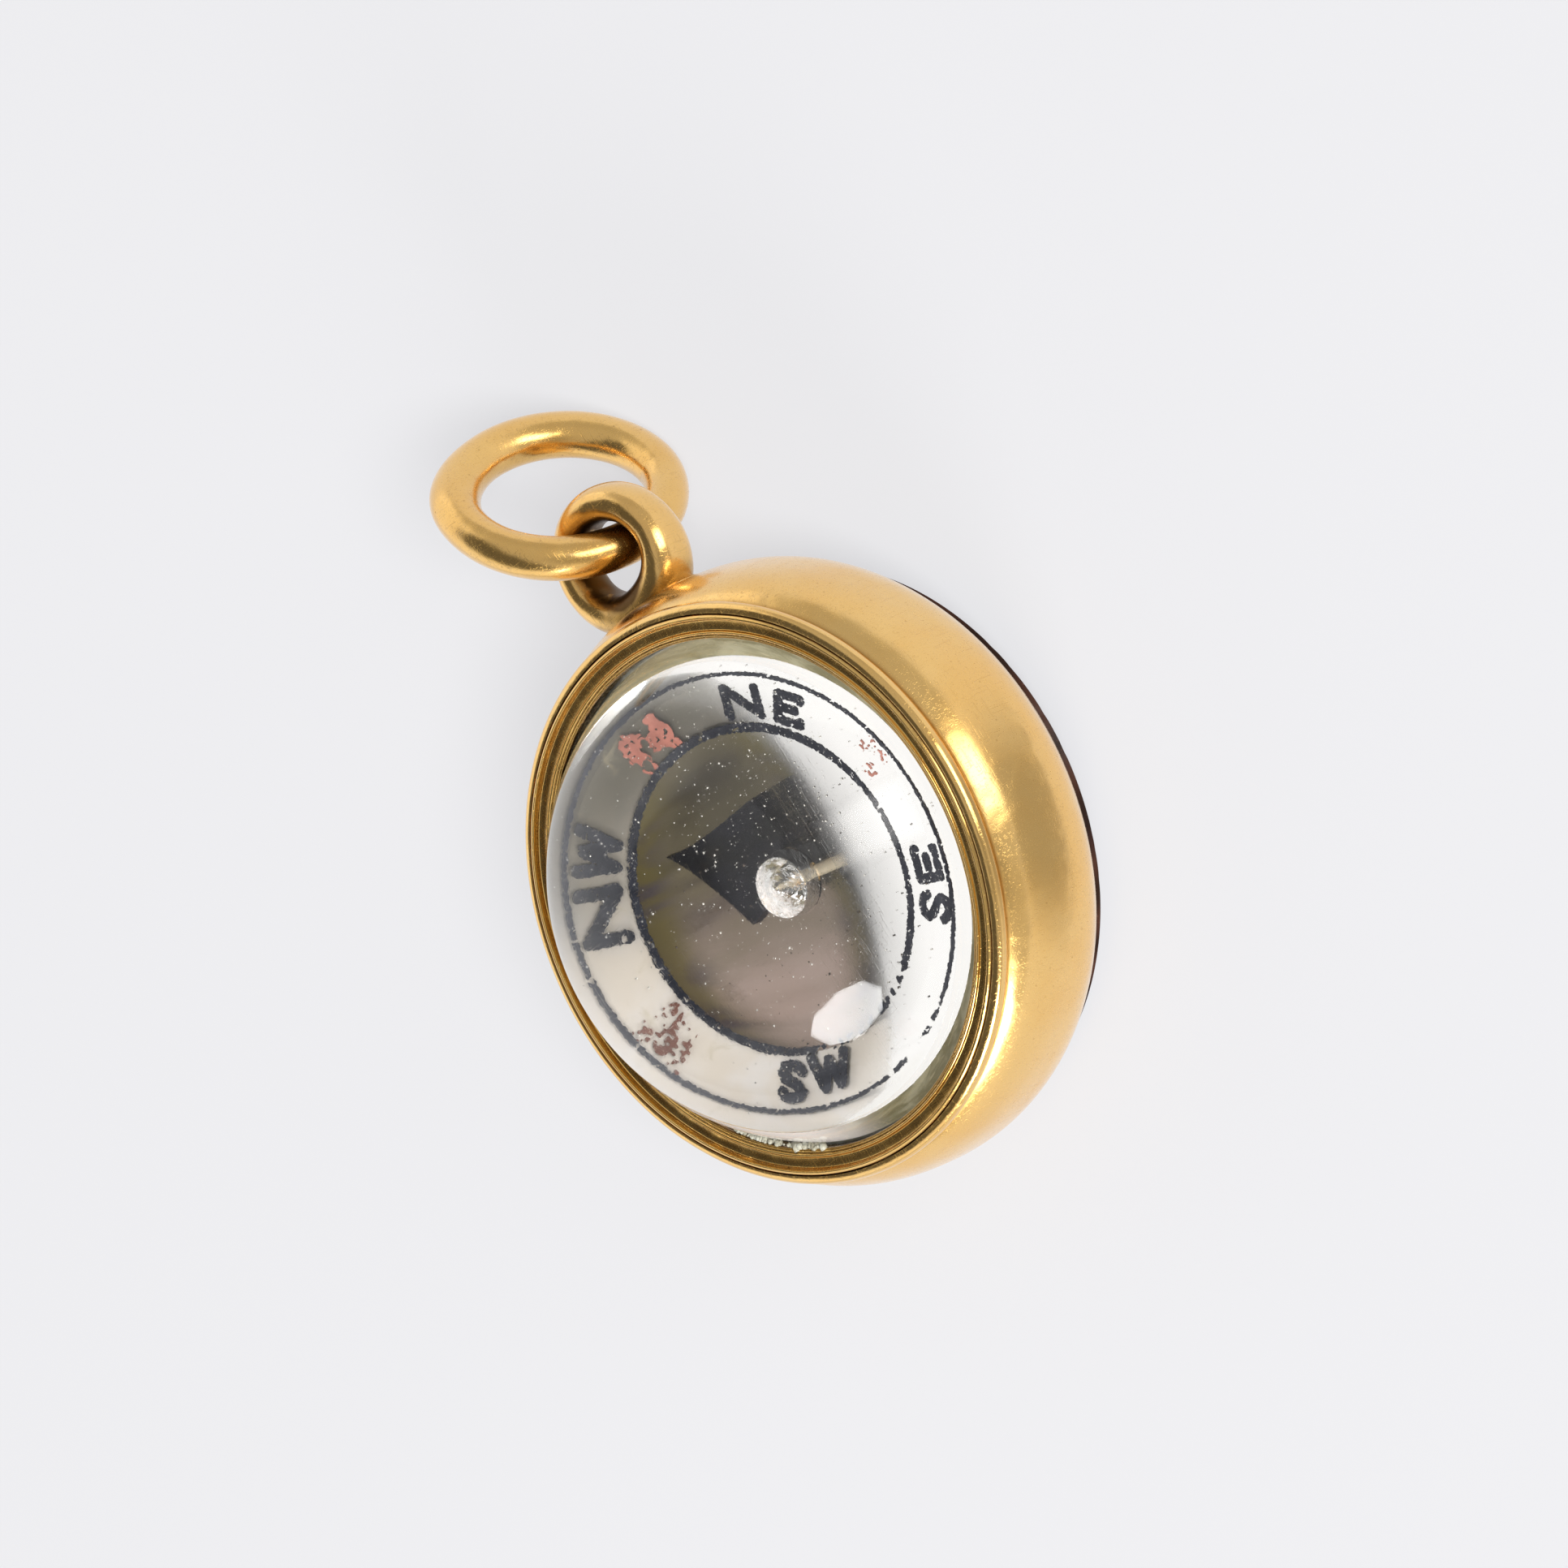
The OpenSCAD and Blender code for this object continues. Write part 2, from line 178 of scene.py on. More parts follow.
def loop_noise(turn, middle, reach, size, seed):
    """One value of noise for a direction round a swept ring, without a seam."""
    return float(value_noise(middle + reach * math.cos(turn), middle + reach * math.sin(turn),
                             size, seed))


# Mesh helpers, in millimetres


def add_object(name, data):
    """Puts a mesh, lamp or camera into the scene."""
    made = bpy.data.objects.new(name, data)
    bpy.context.scene.collection.objects.link(made)
    return made


def ramp(value, start, end):
    """Share from 0 at start to 1 at end, which may be the smaller, held beyond both."""
    return np.clip((value - start) / (end - start), 0.0, 1.0)


def make_piece(name, shape, finish, body, replaced=(), sharp=None):
    """Makes a mesh object from (points in millimetres, faces) and puts it on its body.

    Edges that turn by more than sharp degrees stay sharp.
    """
    verts, faces = shape
    mesh = bpy.data.meshes.new(name)
    mesh.from_pydata([tuple(MM * c for c in v) for v in verts], [], faces)
    mesh.update()
    made = bmesh.new()
    made.from_mesh(mesh)
    bmesh.ops.recalc_face_normals(made, faces=made.faces)
    made.to_mesh(mesh)
    made.free()
    mesh.shade_smooth()
    if sharp is not None:
        mesh.set_sharp_from_angle(angle=math.radians(sharp))
    mesh.materials.append(finish)
    piece = add_object(name, mesh)
    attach(piece, body)
    if replaced:
        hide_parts(*replaced)
    return piece


def lathe(profile, steps, warp=None, closed=True):
    """Turns [r, z] points about the middle axis. Points at r = 0 become poles.

    A closed profile is a ring; an open one runs from pole to pole. warp(r, z, theta) returns
    changed r and z arrays.
    """
    pts = np.array(profile, float)
    theta = np.linspace(0.0, 2 * np.pi, steps, endpoint=False)
    verts, rows = [], []
    for r, z in pts:
        if r < 1e-9:
            rows.append([len(verts)])
            verts.append((0.0, 0.0, z))
            continue
        rr, zz = np.full(steps, r), np.full(steps, z)
        if warp:
            rr, zz = warp(rr, zz, theta)
        rows.append(list(range(len(verts), len(verts) + steps)))
        verts.extend(zip(rr * np.cos(theta), rr * np.sin(theta), zz))
    faces = []
    for k in range(len(rows) if closed else len(rows) - 1):
        a, b = rows[k], rows[(k + 1) % len(rows)]
        for i in range(steps):
            j = (i + 1) % steps
            if len(a) == 1:
                faces.append((a[0], b[i], b[j]))
            elif len(b) == 1:
                faces.append((a[i], b[0], a[j]))
            else:
                faces.append((a[i], b[i], b[j], a[j]))
    return verts, faces


def resample(points, step, closed=False):
    """Adds points along straight runs that are longer than step."""
    out = []
    count = len(points) if closed else len(points) - 1
    for k in range(count):
        a, b = np.array(points[k], float), np.array(points[(k + 1) % len(points)], float)
        n = max(1, int(np.ceil(np.linalg.norm(b - a) / step)))
        out.extend((a + (b - a) * i / n).tolist() for i in range(n))
    if not closed:
        out.append(list(points[-1]))
    return out


def soften(points, closed=True):
    """Cuts the corners of a profile twice, so that its edges turn over a small radius."""
    for _ in range(2):
        out = []
        count = len(points) if closed else len(points) - 1
        if not closed:
            out.append(list(points[0]))
        for k in range(count):
            a, b = np.array(points[k], float), np.array(points[(k + 1) % len(points)], float)
            d = np.linalg.norm(b - a)
            f = min(0.25, 0.02 / d) if d > 0 else 0.25
            out.append((a + (b - a) * f).tolist())
            out.append((b - (b - a) * f).tolist())
        if not closed:
            out.append(list(points[-1]))
        points = out
    return points


def arc(x, y, r, start, end, steps):
    """Points round the middle x, y, between two directions in degrees."""
    turns = [math.radians(start + (end - start) * i / steps) for i in range(steps + 1)]
    return [[x + r * math.cos(turn), y + r * math.sin(turn)] for turn in turns]


def signed_power(value, power):
    """The power of a value's size, with the value's sign."""
    return math.copysign(abs(value) ** power, value)


def oval(wide, tall, steps, power=1.0):
    """Section of a ring's wire from its half width and half height, squarer below power 1."""
    turns = [2 * math.pi * i / steps for i in range(steps)]
    return [[wide * signed_power(math.cos(a), power), tall * signed_power(math.sin(a), power)]
            for a in turns]


def case_side(grow, steps):
    """Points up the case's rounded side, grown outwards by grow."""
    out = []
    for i in range(steps + 1):
        turn = math.radians(-90.0 + 180.0 * i / steps)
        height, power = (CASE_UP, POWER_UP) if turn >= 0 else (CASE_DOWN, POWER_DOWN)
        out.append([
            CASE_SPINE + (CASE_BULGE + grow) * max(0.0, math.cos(turn)) ** (2 / power),
            CASE_MID + (height + grow) * signed_power(math.sin(turn), 2 / power)])
    return out


def case_radius(z, grow=0.0):
    """Radius of the case's rounded side at height z, as an array."""
    up = np.asarray(z, float) >= CASE_MID
    height, power = np.where(up, CASE_UP, CASE_DOWN), np.where(up, POWER_UP, POWER_DOWN)
    share = np.clip(np.abs(z - CASE_MID) / (height + grow), 0.0, 1.0)
    return CASE_SPINE + (CASE_BULGE + grow) * (1 - share ** power) ** (1 / power)


def shifted(shape, shift, share):
    """Moves points sideways by shift, each by its own share(radius, height)."""
    verts, faces = shape
    pts = np.array(verts, float)
    pts[:, :2] += np.outer(share(np.hypot(pts[:, 0], pts[:, 1]), pts[:, 2]), shift)
    return pts.tolist(), faces


def swept_ring(mid, normal, radius, section, steps, warp):
    """Sweeps section, a list of [outward, along normal] points, round a circle.

    warp(outward, along, turn) returns a changed point of the section.
    """
    n = Vector(normal).normalized()
    u = n.orthogonal().normalized() if abs(n.z) < 0.999 else Vector((1, 0, 0))
    w = n.cross(u)
    verts, faces = [], []
    for i in range(steps):
        turn = 2 * math.pi * i / steps
        out = math.cos(turn) * u + math.sin(turn) * w
        for point in section:
            a, b = warp(*point, turn)
            verts.append(tuple(Vector(mid) + (radius + a) * out + b * n))
    m = len(section)
    for i in range(steps):
        j = (i + 1) % steps
        for k in range(m):
            q = (k + 1) % m
            faces.append((i * m + k, i * m + q, j * m + q, j * m + k))
    return verts, faces


def film(x, y, field, low, high, wrap=False):
    """Makes a thin closed plate where field is above zero on a grid of x, y points.

    The grid's first axis closes on itself if wrap is true.
    """
    field = field.copy()
    field[:, 0] = field[:, -1] = -1.0
    if not wrap:
        field[0, :] = field[-1, :] = -1.0
    nu = len(field)
    verts, cells, index = [], [], {}

    def corner(a):
        if a not in index:
            index[a] = len(verts)
            verts.append((x[a], y[a]))
        return index[a]

    def crossing(a, b):
        """Point between the corners a and b where the field is zero."""
        key = (min(a, b), max(a, b))
        if key not in index:
            share = float(np.clip(field[a] / (field[a] - field[b]), 0.04, 0.96))
            index[key] = len(verts)
            verts.append((x[a] + (x[b] - x[a]) * share, y[a] + (y[b] - y[a]) * share))
        return index[key]

    inside = field > 0
    last = nu if wrap else nu - 1
    beyond = np.roll(inside, -1, axis=0)
    some = inside[:, :-1] | inside[:, 1:] | beyond[:, :-1] | beyond[:, 1:]
    for i, j in zip(*np.nonzero(some[:last])):
        i, j, i2 = int(i), int(j), int((i + 1) % nu)
        ring = [(i, j), (i2, j), (i2, j + 1), (i, j + 1)]
        # Points round the part of the cell that is inside, and whether the edge leaves it there
        loop = []
        for a, b in zip(ring, ring[1:] + ring[:1]):
            if inside[a]:
                loop.append((corner(a), False))
            if inside[a] != inside[b]:
                loop.append((crossing(a, b), bool(inside[a])))
        if len(loop) < 3:
            continue
        ids = [v for v, _ in loop]
        walls = [(v, after) for (v, leaves), after in zip(loop, ids[1:] + ids[:1]) if leaves]
        cells.append((ids, walls))
    n = len(verts)
    points = [(*v, high) for v in verts] + [(*v, low) for v in verts]
    faces = [tuple(ids) for ids, _ in cells]
    for ids, walls in cells:
        faces.append(tuple(v + n for v in reversed(ids)))
        faces += [(b, a, a + n, b + n) for a, b in walls]
    return points, faces


# Shader maths


def maths(kind, turned=False):
    """A method of Wire that adds one Math node; turned puts the wire itself last."""
    def method(self, *others):
        values = (*others, self) if turned else (self, *others)
        return self.graph.add("ShaderNodeMath", {"operation": kind}, dict(enumerate(values)))
    return method


class Wire:
    """An output socket that can be used in sums; each sum adds one Math node."""

    def __init__(self, graph, socket):
        self.graph, self.socket = graph, socket

    __add__, __radd__ = maths("ADD"), maths("ADD", True)
    __sub__, __rsub__ = maths("SUBTRACT"), maths("SUBTRACT", True)
    __mul__, __rmul__ = maths("MULTIPLY"), maths("MULTIPLY", True)
    root, sine, atan2 = maths("SQRT"), maths("SINE"), maths("ARCTAN2")
    absolute = maths("ABSOLUTE")
    least, most = maths("MINIMUM"), maths("MAXIMUM")

    def step(self, low, high):
        """Rises smoothly from 0 at low to 1 at high; falls if low is the larger."""
        made = self.graph.add("ShaderNodeMapRange", {"interpolation_type": "SMOOTHSTEP"}, {
            "Value": self, "From Min": min(low, high), "From Max": max(low, high)})
        return 1.0 - made if low > high else made


class Graph:
    """Builds one node tree; add makes any node, and the other methods are short forms of it."""

    def __init__(self, tree):
        self.tree = tree
        tree.nodes.clear()

    def add(self, kind, choices=None, sockets=None, out=0):
        """Adds a node, sets its choices, then its sockets, and gives its output out."""
        node = self.tree.nodes.new(kind)
        for key, value in (choices or {}).items():
            setattr(node, key, value)
        for key, value in (sockets or {}).items():
            if isinstance(value, Wire):
                self.tree.links.new(value.socket, node.inputs[key])
            elif value is not None:
                node.inputs[key].default_value = value
        return None if out is None else Wire(self, node.outputs[out])

    def place(self):
        """Object coordinates in millimetres, so that sizes read like those of the CAD."""
        here = self.add("ShaderNodeTexCoord", out=3)
        return self.add("ShaderNodeVectorMath", {"operation": "SCALE"}, {0: here, "Scale": 1000.0})

    def split(self, vector):
        first = self.add("ShaderNodeSeparateXYZ", None, {0: vector})
        return [Wire(self, socket) for socket in first.socket.node.outputs]

    def noise(self, where, scale, detail=2.0, rough=0.5, bend=0.0):
        return self.add("ShaderNodeTexNoise", None, {
            "Vector": where, "Scale": scale, "Detail": detail, "Roughness": rough,
            "Distortion": bend})

    def cells(self, where, scale):
        return self.add("ShaderNodeTexVoronoi", None, {"Vector": where, "Scale": scale})

    def mix(self, share, a, b):
        return self.add("ShaderNodeMix", {"data_type": "RGBA"},
                        {0: share, 6: colour(a), 7: colour(b)}, out=2)

    def bump(self, height, strength, distance, normal=None):
        return self.add("ShaderNodeBump", None, {
            "Height": height, "Strength": strength, "Distance": distance, "Normal": normal})

    def surface(self, values):
        return self.add("ShaderNodeBsdfPrincipled", None, values)

    def end(self, shader, kind="ShaderNodeOutputMaterial"):
        self.add(kind, None, {0: shader}, out=None)


def colour(value):
    """What a colour socket takes: a wire or four numbers."""
    if isinstance(value, Wire) or len(value) == 4:
        return value
    return (*value, 1.0)


def toned(base, *shares):
    """A colour with each part times its share, up to 1; one share does for all three."""
    return tuple(min(1.0, c * k) for c, k in zip(base, shares * (3 // len(shares))))


def away(x, y, *more):
    """Distance from the middle, from its parts along the axes."""
    total = x * x + y * y
    for part in more:
        total = total + part * part
    return total.root()


def summed(wires):
    """Adds the wires up without a starting value."""
    return functools.reduce(operator.add, wires)


def material(fill):
    """Makes fill, which builds a graph and returns its shader, into a maker of materials.

    The maker takes the material's name before fill's own values, and makes each name once.
    """
    def make(name, *values):
        made = bpy.data.materials.get(name)
        if made is None:
            made = bpy.data.materials.new(name)
            made.use_nodes = True
            g = Graph(made.node_tree)
            g.end(fill(g, *values))
        return made
    return make


# Materials


def scratches(g, where, seed=0.0):
    """Fine hairlines in three directions, as a height from 0 to 1."""
    def one_way(k, size):
        bent = g.add("ShaderNodeMapping", None, {
            "Vector": where, "Location": (seed, k * 3.1, 1.7),
            "Rotation": (0.4 * k, 0.7 - 0.5 * k, 0.9 * k), "Scale": size})
        return g.noise(bent, 2.2, 2.0, 0.5, 0.2).step(0.60, 0.70)

    sizes = ((0.35, 9.0, 5.0), (7.0, 0.4, 6.0), (6.0, 8.0, 0.3))
    return summed(one_way(k, size) for k, size in enumerate(sizes))


@material
def gold(g, base, dark, rough, age, wave=0.5, recess=None):
    """Worn polished gold. recess(g, where) gives a share of painted shade that is mixed in by
    place.

    rough is the polish's roughness, age the share of overall tarnish and wave the strength of
    the broad dents in its reflections.
    """
    where = g.place()
    broad = g.noise(where, 0.33, 3.0, 0.55)
    cloud = g.noise(where, 1.6, 5.0, 0.6, 0.4)
    fine = g.noise(where, 9.0, 4.0, 0.6)
    hair = scratches(g, where)
    pits = g.cells(where, 2.1).step(0.10, 0.055)
    tone = g.mix(broad.step(0.35, 0.68), toned(base, 1.01, 1.04, 1.15),
                 toned(base, 0.985, 0.955, 0.90))
    tone = g.mix(cloud.step(0.5, 0.8) * 0.35, tone, base)
    share = pits * (0.25 + age) + hair * 0.10 + age * cloud.step(0.35, 0.75)
    # Painted shade from recess, in creases, grooves and joints, adds to the real tarnish that
    # darkens the gold
    if recess:
        share = share + recess(g, where)
    share = share.least(0.96)
    tone = g.mix(share, tone, dark)
    gloss = rough + (cloud - 0.5) * 0.08 + fine * 0.015 + share * 0.22 + hair * 0.05
    soft = g.bump(broad + cloud * 0.03, wave, 0.00022)
    normal = g.bump(hair * -0.6 + fine * 0.03 - pits * 0.7, 0.5, 0.0000045, soft)
    return g.surface({
        "Base Color": tone, "Metallic": 1.0, "Roughness": gloss.most(0.05),
        "Coat Weight": 0.7 - share * 0.7, "Coat Roughness": rough * 0.72, "Coat IOR": 1.7,
        "Normal": normal})


def case_painted_shade(g, where):
    """Painted brown shade in the crease under the collar and round the feet of the pendant eye."""
    x, y, z = g.split(where)
    crease = away(x, y).step(9.36, 9.14) * z.step(CASE_TOP - 0.2, CASE_TOP)
    ragged = g.noise(where, 2.6, 4.0, 0.6)
    feet = (x.absolute().step(2.6, 1.7) * y.step(9.35, 9.75)
            * (z - EYE_MID[2]).absolute().step(1.4, 0.8))
    return crease * 0.7 + feet * ragged.step(0.3, 0.6) * 0.5


def bezel_painted_shade(g, where):
    """Painted shade: dark lines in the grooves of the stepped bezel, broken up along the ring."""
    x, y, _ = g.split(where)
    radius = away(x, y)
    ragged = g.noise(where, 1.4, 4.0, 0.65)

    def groove(mid, half, much):
        off = radius - mid
        return (off * off).step(half * half, 0.0) * much

    # Radius and half width of each groove, in millimetres, and its depth of shade
    grooves = ((8.965, 0.03, 0.9), (8.60, 0.17, 0.70), (8.283, 0.022, 0.75),
               (8.215, 0.014, 0.6), (8.165, 0.018, 1.4))
    return summed(groove(*each) for each in grooves) * ragged.step(0.18, 0.55)


def eye_painted_shade(g, where):
    """Painted shade inside the eye's hole and where it is soldered to the case, broken up by
    noise.
    """
    x, y, _ = g.split(where)
    hole = away(x, y - EYE_MID[1]).step(1.66, 1.34)
    ragged = g.noise(where, 1.9, 4.0, 0.6)
    foot = y.step(10.35, 9.95)
    return (hole + foot * 0.35) * ragged.step(0.05, 0.5)


def bow_painted_shade(g, where):
    """Painted brown shade where the bow runs through the eye."""
    x, y, z = g.split(where)
    near = away(x - LINK[0], y - LINK[1], z - LINK[2]).step(1.9, 0.9)
    ragged = g.noise(where, 1.7, 4.0, 0.6)
    return near * (0.45 + 0.45 * ragged.step(0.3, 0.65))


@material
def glass_material(g):
    """Clear polished glass that lets lamp light and diffuse light through."""
    where = g.place()
    x, y, z = g.split(where)
    radius = away(x, y)
    hair = scratches(g, where, 5.0)
    smear = g.noise(where, 0.5, 3.0, 0.6, 0.6).step(0.5, 0.8)
    pit = radius.step(0.80, 0.74) * z.step(5.0, 4.4)
    ground = g.noise(where, 7.0, 3.0, 0.6)
    bevel = z.step(4.93, 4.86) * radius.step(FLAT_R, FLAT_R + 0.1)
    flat = z.step(FLAT_Z + 0.006, FLAT_Z + 0.002) * 0.045
    rough = smear * 0.012 + hair * 0.01 + pit * 0.07 + bevel * 0.05 + flat
    height = hair * -0.15 + ground * pit * 6.0 + ground * bevel * 1.2
    tint = g.mix(bevel, (0.99, 0.99, 0.99), (0.93, 0.94, 0.88))
    clear = g.surface({
        "Base Color": tint, "Roughness": rough, "IOR": 1.455, "Transmission Weight": 1.0,
        "Normal": g.bump(height, 0.3, 0.000004)})
    shadow = g.add("ShaderNodeLightPath", out="Is Shadow Ray")
    diffuse = g.add("ShaderNodeLightPath", out="Is Diffuse Ray")
    through = g.add("ShaderNodeBsdfTransparent", None, {"Color": (0.95, 0.95, 0.95, 1.0)})
    return g.add("ShaderNodeMixShader", None, {0: shadow.most(diffuse), 1: clear, 2: through})


@material
def bond_material(g):
    """Olive cement seen through the glass's bevel, with paler and golden patches, painted light at
    the left, painted shade at the top and a painted near-black shadow along its rim.
    """
    where = g.place()
    x, y, _ = g.split(where)
    cloud = g.noise(where, 0.55, 4.0, 0.6, 0.9)
    grain = g.noise(where, 9.0, 4.0, 0.6)
    patch = g.noise(where, 1.5, 4.0, 0.65, 0.8).step(0.55, 0.70)
    # Painted light: the cement turns pale towards the left
    left = (0.0 - x - y * 0.3).step(3.0, 5.4)
    tone = g.mix(cloud.step(0.38, 0.62), (0.13, 0.115, 0.055), (0.27, 0.25, 0.16))
    tone = g.mix(patch * 0.4, tone, (0.44, 0.39, 0.25))
    # Painted shade: the cement darkens towards the top
    top = (y - x * 0.55).step(3.5, 7.5)
    tone = g.mix(top * 0.75, tone, (0.10, 0.08, 0.032))
    tone = g.mix(left * 0.9, tone, (0.74, 0.69, 0.67))
    tone = g.mix(grain.step(0.64, 0.76) * 0.5, tone, (0.06, 0.05, 0.03))
    # Painted shadow: near black along the rim above and below, in the gap by the bezel
    turn = y.atan2(x)
    upper = turn.step(1.55, 1.9) * turn.step(3.0, 2.75)
    shadow_span = upper + turn.step(-1.5, -1.75) * turn.step(-2.7, -2.45)
    rim = away(x, y).step(7.55, 7.85)
    tone = g.mix(rim * shadow_span * 0.97, tone, (0.008, 0.007, 0.004))
    return g.surface({
        "Base Color": tone, "Roughness": 0.55 + grain * 0.2,
        "Normal": g.bump(grain + cloud, 0.3, 0.00002)})


@material
def pit_material(g):
    """Ground cone of the glass's pivot pit: whitish, with coarse grinding marks and painted
    reflections in bright and dark sectors.
    """
    where = g.place()
    x, y, _ = g.split(where)
    facet = g.cells(where, 1.7)
    grain = g.noise(where, 11.0, 4.0, 0.65)
    rings = g.noise(where, 4.0, 3.0, 0.6, 0.5)
    across = x - PIT_SHIFT[0]
    # Painted reflections: bright and dark sectors round the cone, which also give its facets their
    # height
    glint_sector = (y.atan2(across) * 3.0 + rings * 7.0 + 1.0).sine()
    tone = g.mix(glint_sector.step(-0.2, 0.5), (0.98, 0.97, 0.93), (0.30, 0.26, 0.17))
    tone = g.mix(away(across, y).step(0.60, 0.68), tone, (0.95, 0.94, 0.90))
    return g.surface({
        "Base Color": tone, "Roughness": 0.05 + grain * 0.08, "Transmission Weight": 0.93,
        "IOR": 1.455, "Normal": g.bump(facet * 1.2 + glint_sector * 0.35, 0.7, 0.00007)})


@material
def stone_material(g):
    """Dark brown-black hardstone with faint bands, polished."""
    where = g.place()
    warped = g.noise(where, 0.25, 4.0, 0.55, 0.8)
    bands = g.add("ShaderNodeTexWave", {"wave_type": "BANDS", "bands_direction": "DIAGONAL"},
                  {"Vector": where, "Scale": 0.22, "Distortion": 7.0, "Detail": 3.0}, out=1)
    fleck = g.cells(where, 3.4).step(0.16, 0.05)
    tone = g.mix(bands, (0.014, 0.007, 0.005), (0.036, 0.015, 0.010))
    tone = g.mix(warped.step(0.52, 0.75) * 0.6, tone, (0.008, 0.006, 0.008))
    tone = g.mix(fleck * 0.25, tone, (0.13, 0.06, 0.04))
    fine = g.noise(where, 8.0, 4.0, 0.6)
    chips = g.noise(where, 2.4, 3.0, 0.7).step(0.68, 0.78)
    rough = 0.16 + fine * 0.12 + chips * 0.3
    return g.surface({
        "Base Color": tone, "Roughness": rough, "Specular IOR Level": 0.09,
        "Normal": g.bump(fine * 0.3 - chips, 0.4, 0.00001)})


@material
def ink_material(g, base, fleck, chips):
    """Old paint under the glass: colour clouds, pale flecks and a slightly uneven gloss."""
    where = g.place()
    cloud = g.noise(where, 2.6, 4.0, 0.65)
    grain = g.noise(where, 15.0, 4.0, 0.65)
    spot = g.cells(where, 7.0).step(0.22, 0.10) * cloud.step(0.42, 0.6) * chips
    worn = grain.step(0.60, 0.74) * cloud.step(0.40, 0.62) * chips
    share = spot.most(worn)
    tone = g.mix(cloud.step(0.3, 0.7) * 0.5, base, tuple(min(1.0, c * 1.9 + 0.01) for c in base))
    tone = g.mix(share, tone, fleck)
    return g.surface({
        "Base Color": tone, "Roughness": 0.45 + grain * 0.25, "Specular IOR Level": 0.08,
        "Normal": g.bump(grain - share * 0.6, 0.4, 0.000004)})


@material
def silver_material(g):
    """Silvered plate behind the letters: satin, cream where it has yellowed, with stains, and near
    black towards +y as painted shade.
    """
    where = g.place()
    x, y, _ = g.split(where)
    cloud = g.noise(where, 0.55, 4.0, 0.6, 0.5)
    grain = g.noise(where, 12.0, 4.0, 0.6)
    stain = g.noise(where, 1.3, 5.0, 0.65, 1.2).step(0.58, 0.74)
    # Painted shade: the plate turns near black towards +y
    side = (y * 0.8 - x * 0.2 + cloud * 1.2).step(1.2, 4.4)
    tone = g.mix(cloud.step(0.35, 0.7), (0.70, 0.63, 0.54), (0.74, 0.70, 0.66))
    tone = g.mix(side * 0.95, tone, (0.085, 0.075, 0.05))
    tone = g.mix(stain * 0.35, tone, (0.42, 0.36, 0.22))
    rough = 0.30 + cloud * 0.15 + grain * 0.1 + stain * 0.12
    return g.surface({
        "Base Color": tone, "Metallic": 0.45, "Roughness": rough,
        "Normal": g.bump(grain * 0.3 + cloud, 0.25, 0.00002)})


@material
def wall_material(g):
    """Tarnished gilding of the well: olive and golden patches, lighter and pinker towards -y as
    painted light, and dark olive high up the wall as painted shade.
    """
    where = g.place()
    cloud = g.noise(where, 0.7, 5.0, 0.6, 0.8)
    grain = g.noise(where, 7.0, 4.0, 0.6)
    rust = g.noise(where, 1.7, 5.0, 0.7).step(0.56, 0.72)
    _, y, z = g.split(where)
    # Painted light: lighter and pinker towards -y
    low = (0.0 - y + cloud * 1.6).step(-1.2, 1.6)
    tone = g.mix(cloud.step(0.35, 0.68), (0.06, 0.052, 0.040), (0.17, 0.145, 0.085))
    pink = g.mix(cloud.step(0.4, 0.6), (0.50, 0.39, 0.34), (0.31, 0.25, 0.205))
    tone = g.mix(low * 0.92, tone, pink)
    high = g.mix(cloud.step(0.42, 0.62), (0.13, 0.105, 0.035), (0.055, 0.045, 0.060))
    # Painted shade: dark olive high up the wall, under the plate
    tone = g.mix(z.step(1.9, 2.4) * 0.85, tone, high)
    tone = g.mix(rust * 0.4, tone, (0.12, 0.09, 0.06))
    return g.surface({
        "Base Color": tone, "Metallic": 0.15, "Roughness": 0.38 + grain * 0.2 + rust * 0.2,
        "Normal": g.bump(grain + rust, 0.35, 0.00002)})


@material
def floor_disc_material(g):
    """Taupe disc on the well's floor, with pinkish pearly clouds and dark spots, and painted shade
    that darkens it towards +y.
    """
    where = g.place()
    cloud = g.noise(where, 0.45, 4.0, 0.55, 0.9)
    grain = g.noise(where, 6.0, 5.0, 0.65)
    pearl = g.noise(where, 0.8, 3.0, 0.5, 0.5).step(0.45, 0.7)
    spots = g.cells(where, 1.9).step(0.11, 0.06)
    tone = g.mix(cloud.step(0.35, 0.68), (0.32, 0.235, 0.19), (0.56, 0.38, 0.32))
    tone = g.mix(grain.step(0.45, 0.7) * 0.35, tone, (0.22, 0.17, 0.14))
    tone = g.mix(pearl * 0.55, tone, (0.60, 0.48, 0.42))
    x, y, _ = g.split(where)
    # Painted shade: the disc turns near black towards +y
    shade = (y - x * 0.3 + cloud * 1.5).step(-0.6, 2.0)
    tone = g.mix(shade * 0.92, tone, (0.016, 0.013, 0.013))
    tone = g.mix(spots * 0.8, tone, (0.03, 0.02, 0.02))
    return g.surface({
        "Base Color": tone, "Roughness": 0.42 + grain * 0.2, "Coat Weight": pearl * 0.3,
        "Coat Roughness": 0.25, "Normal": g.bump(grain * 0.5 - spots, 0.3, 0.00002)})


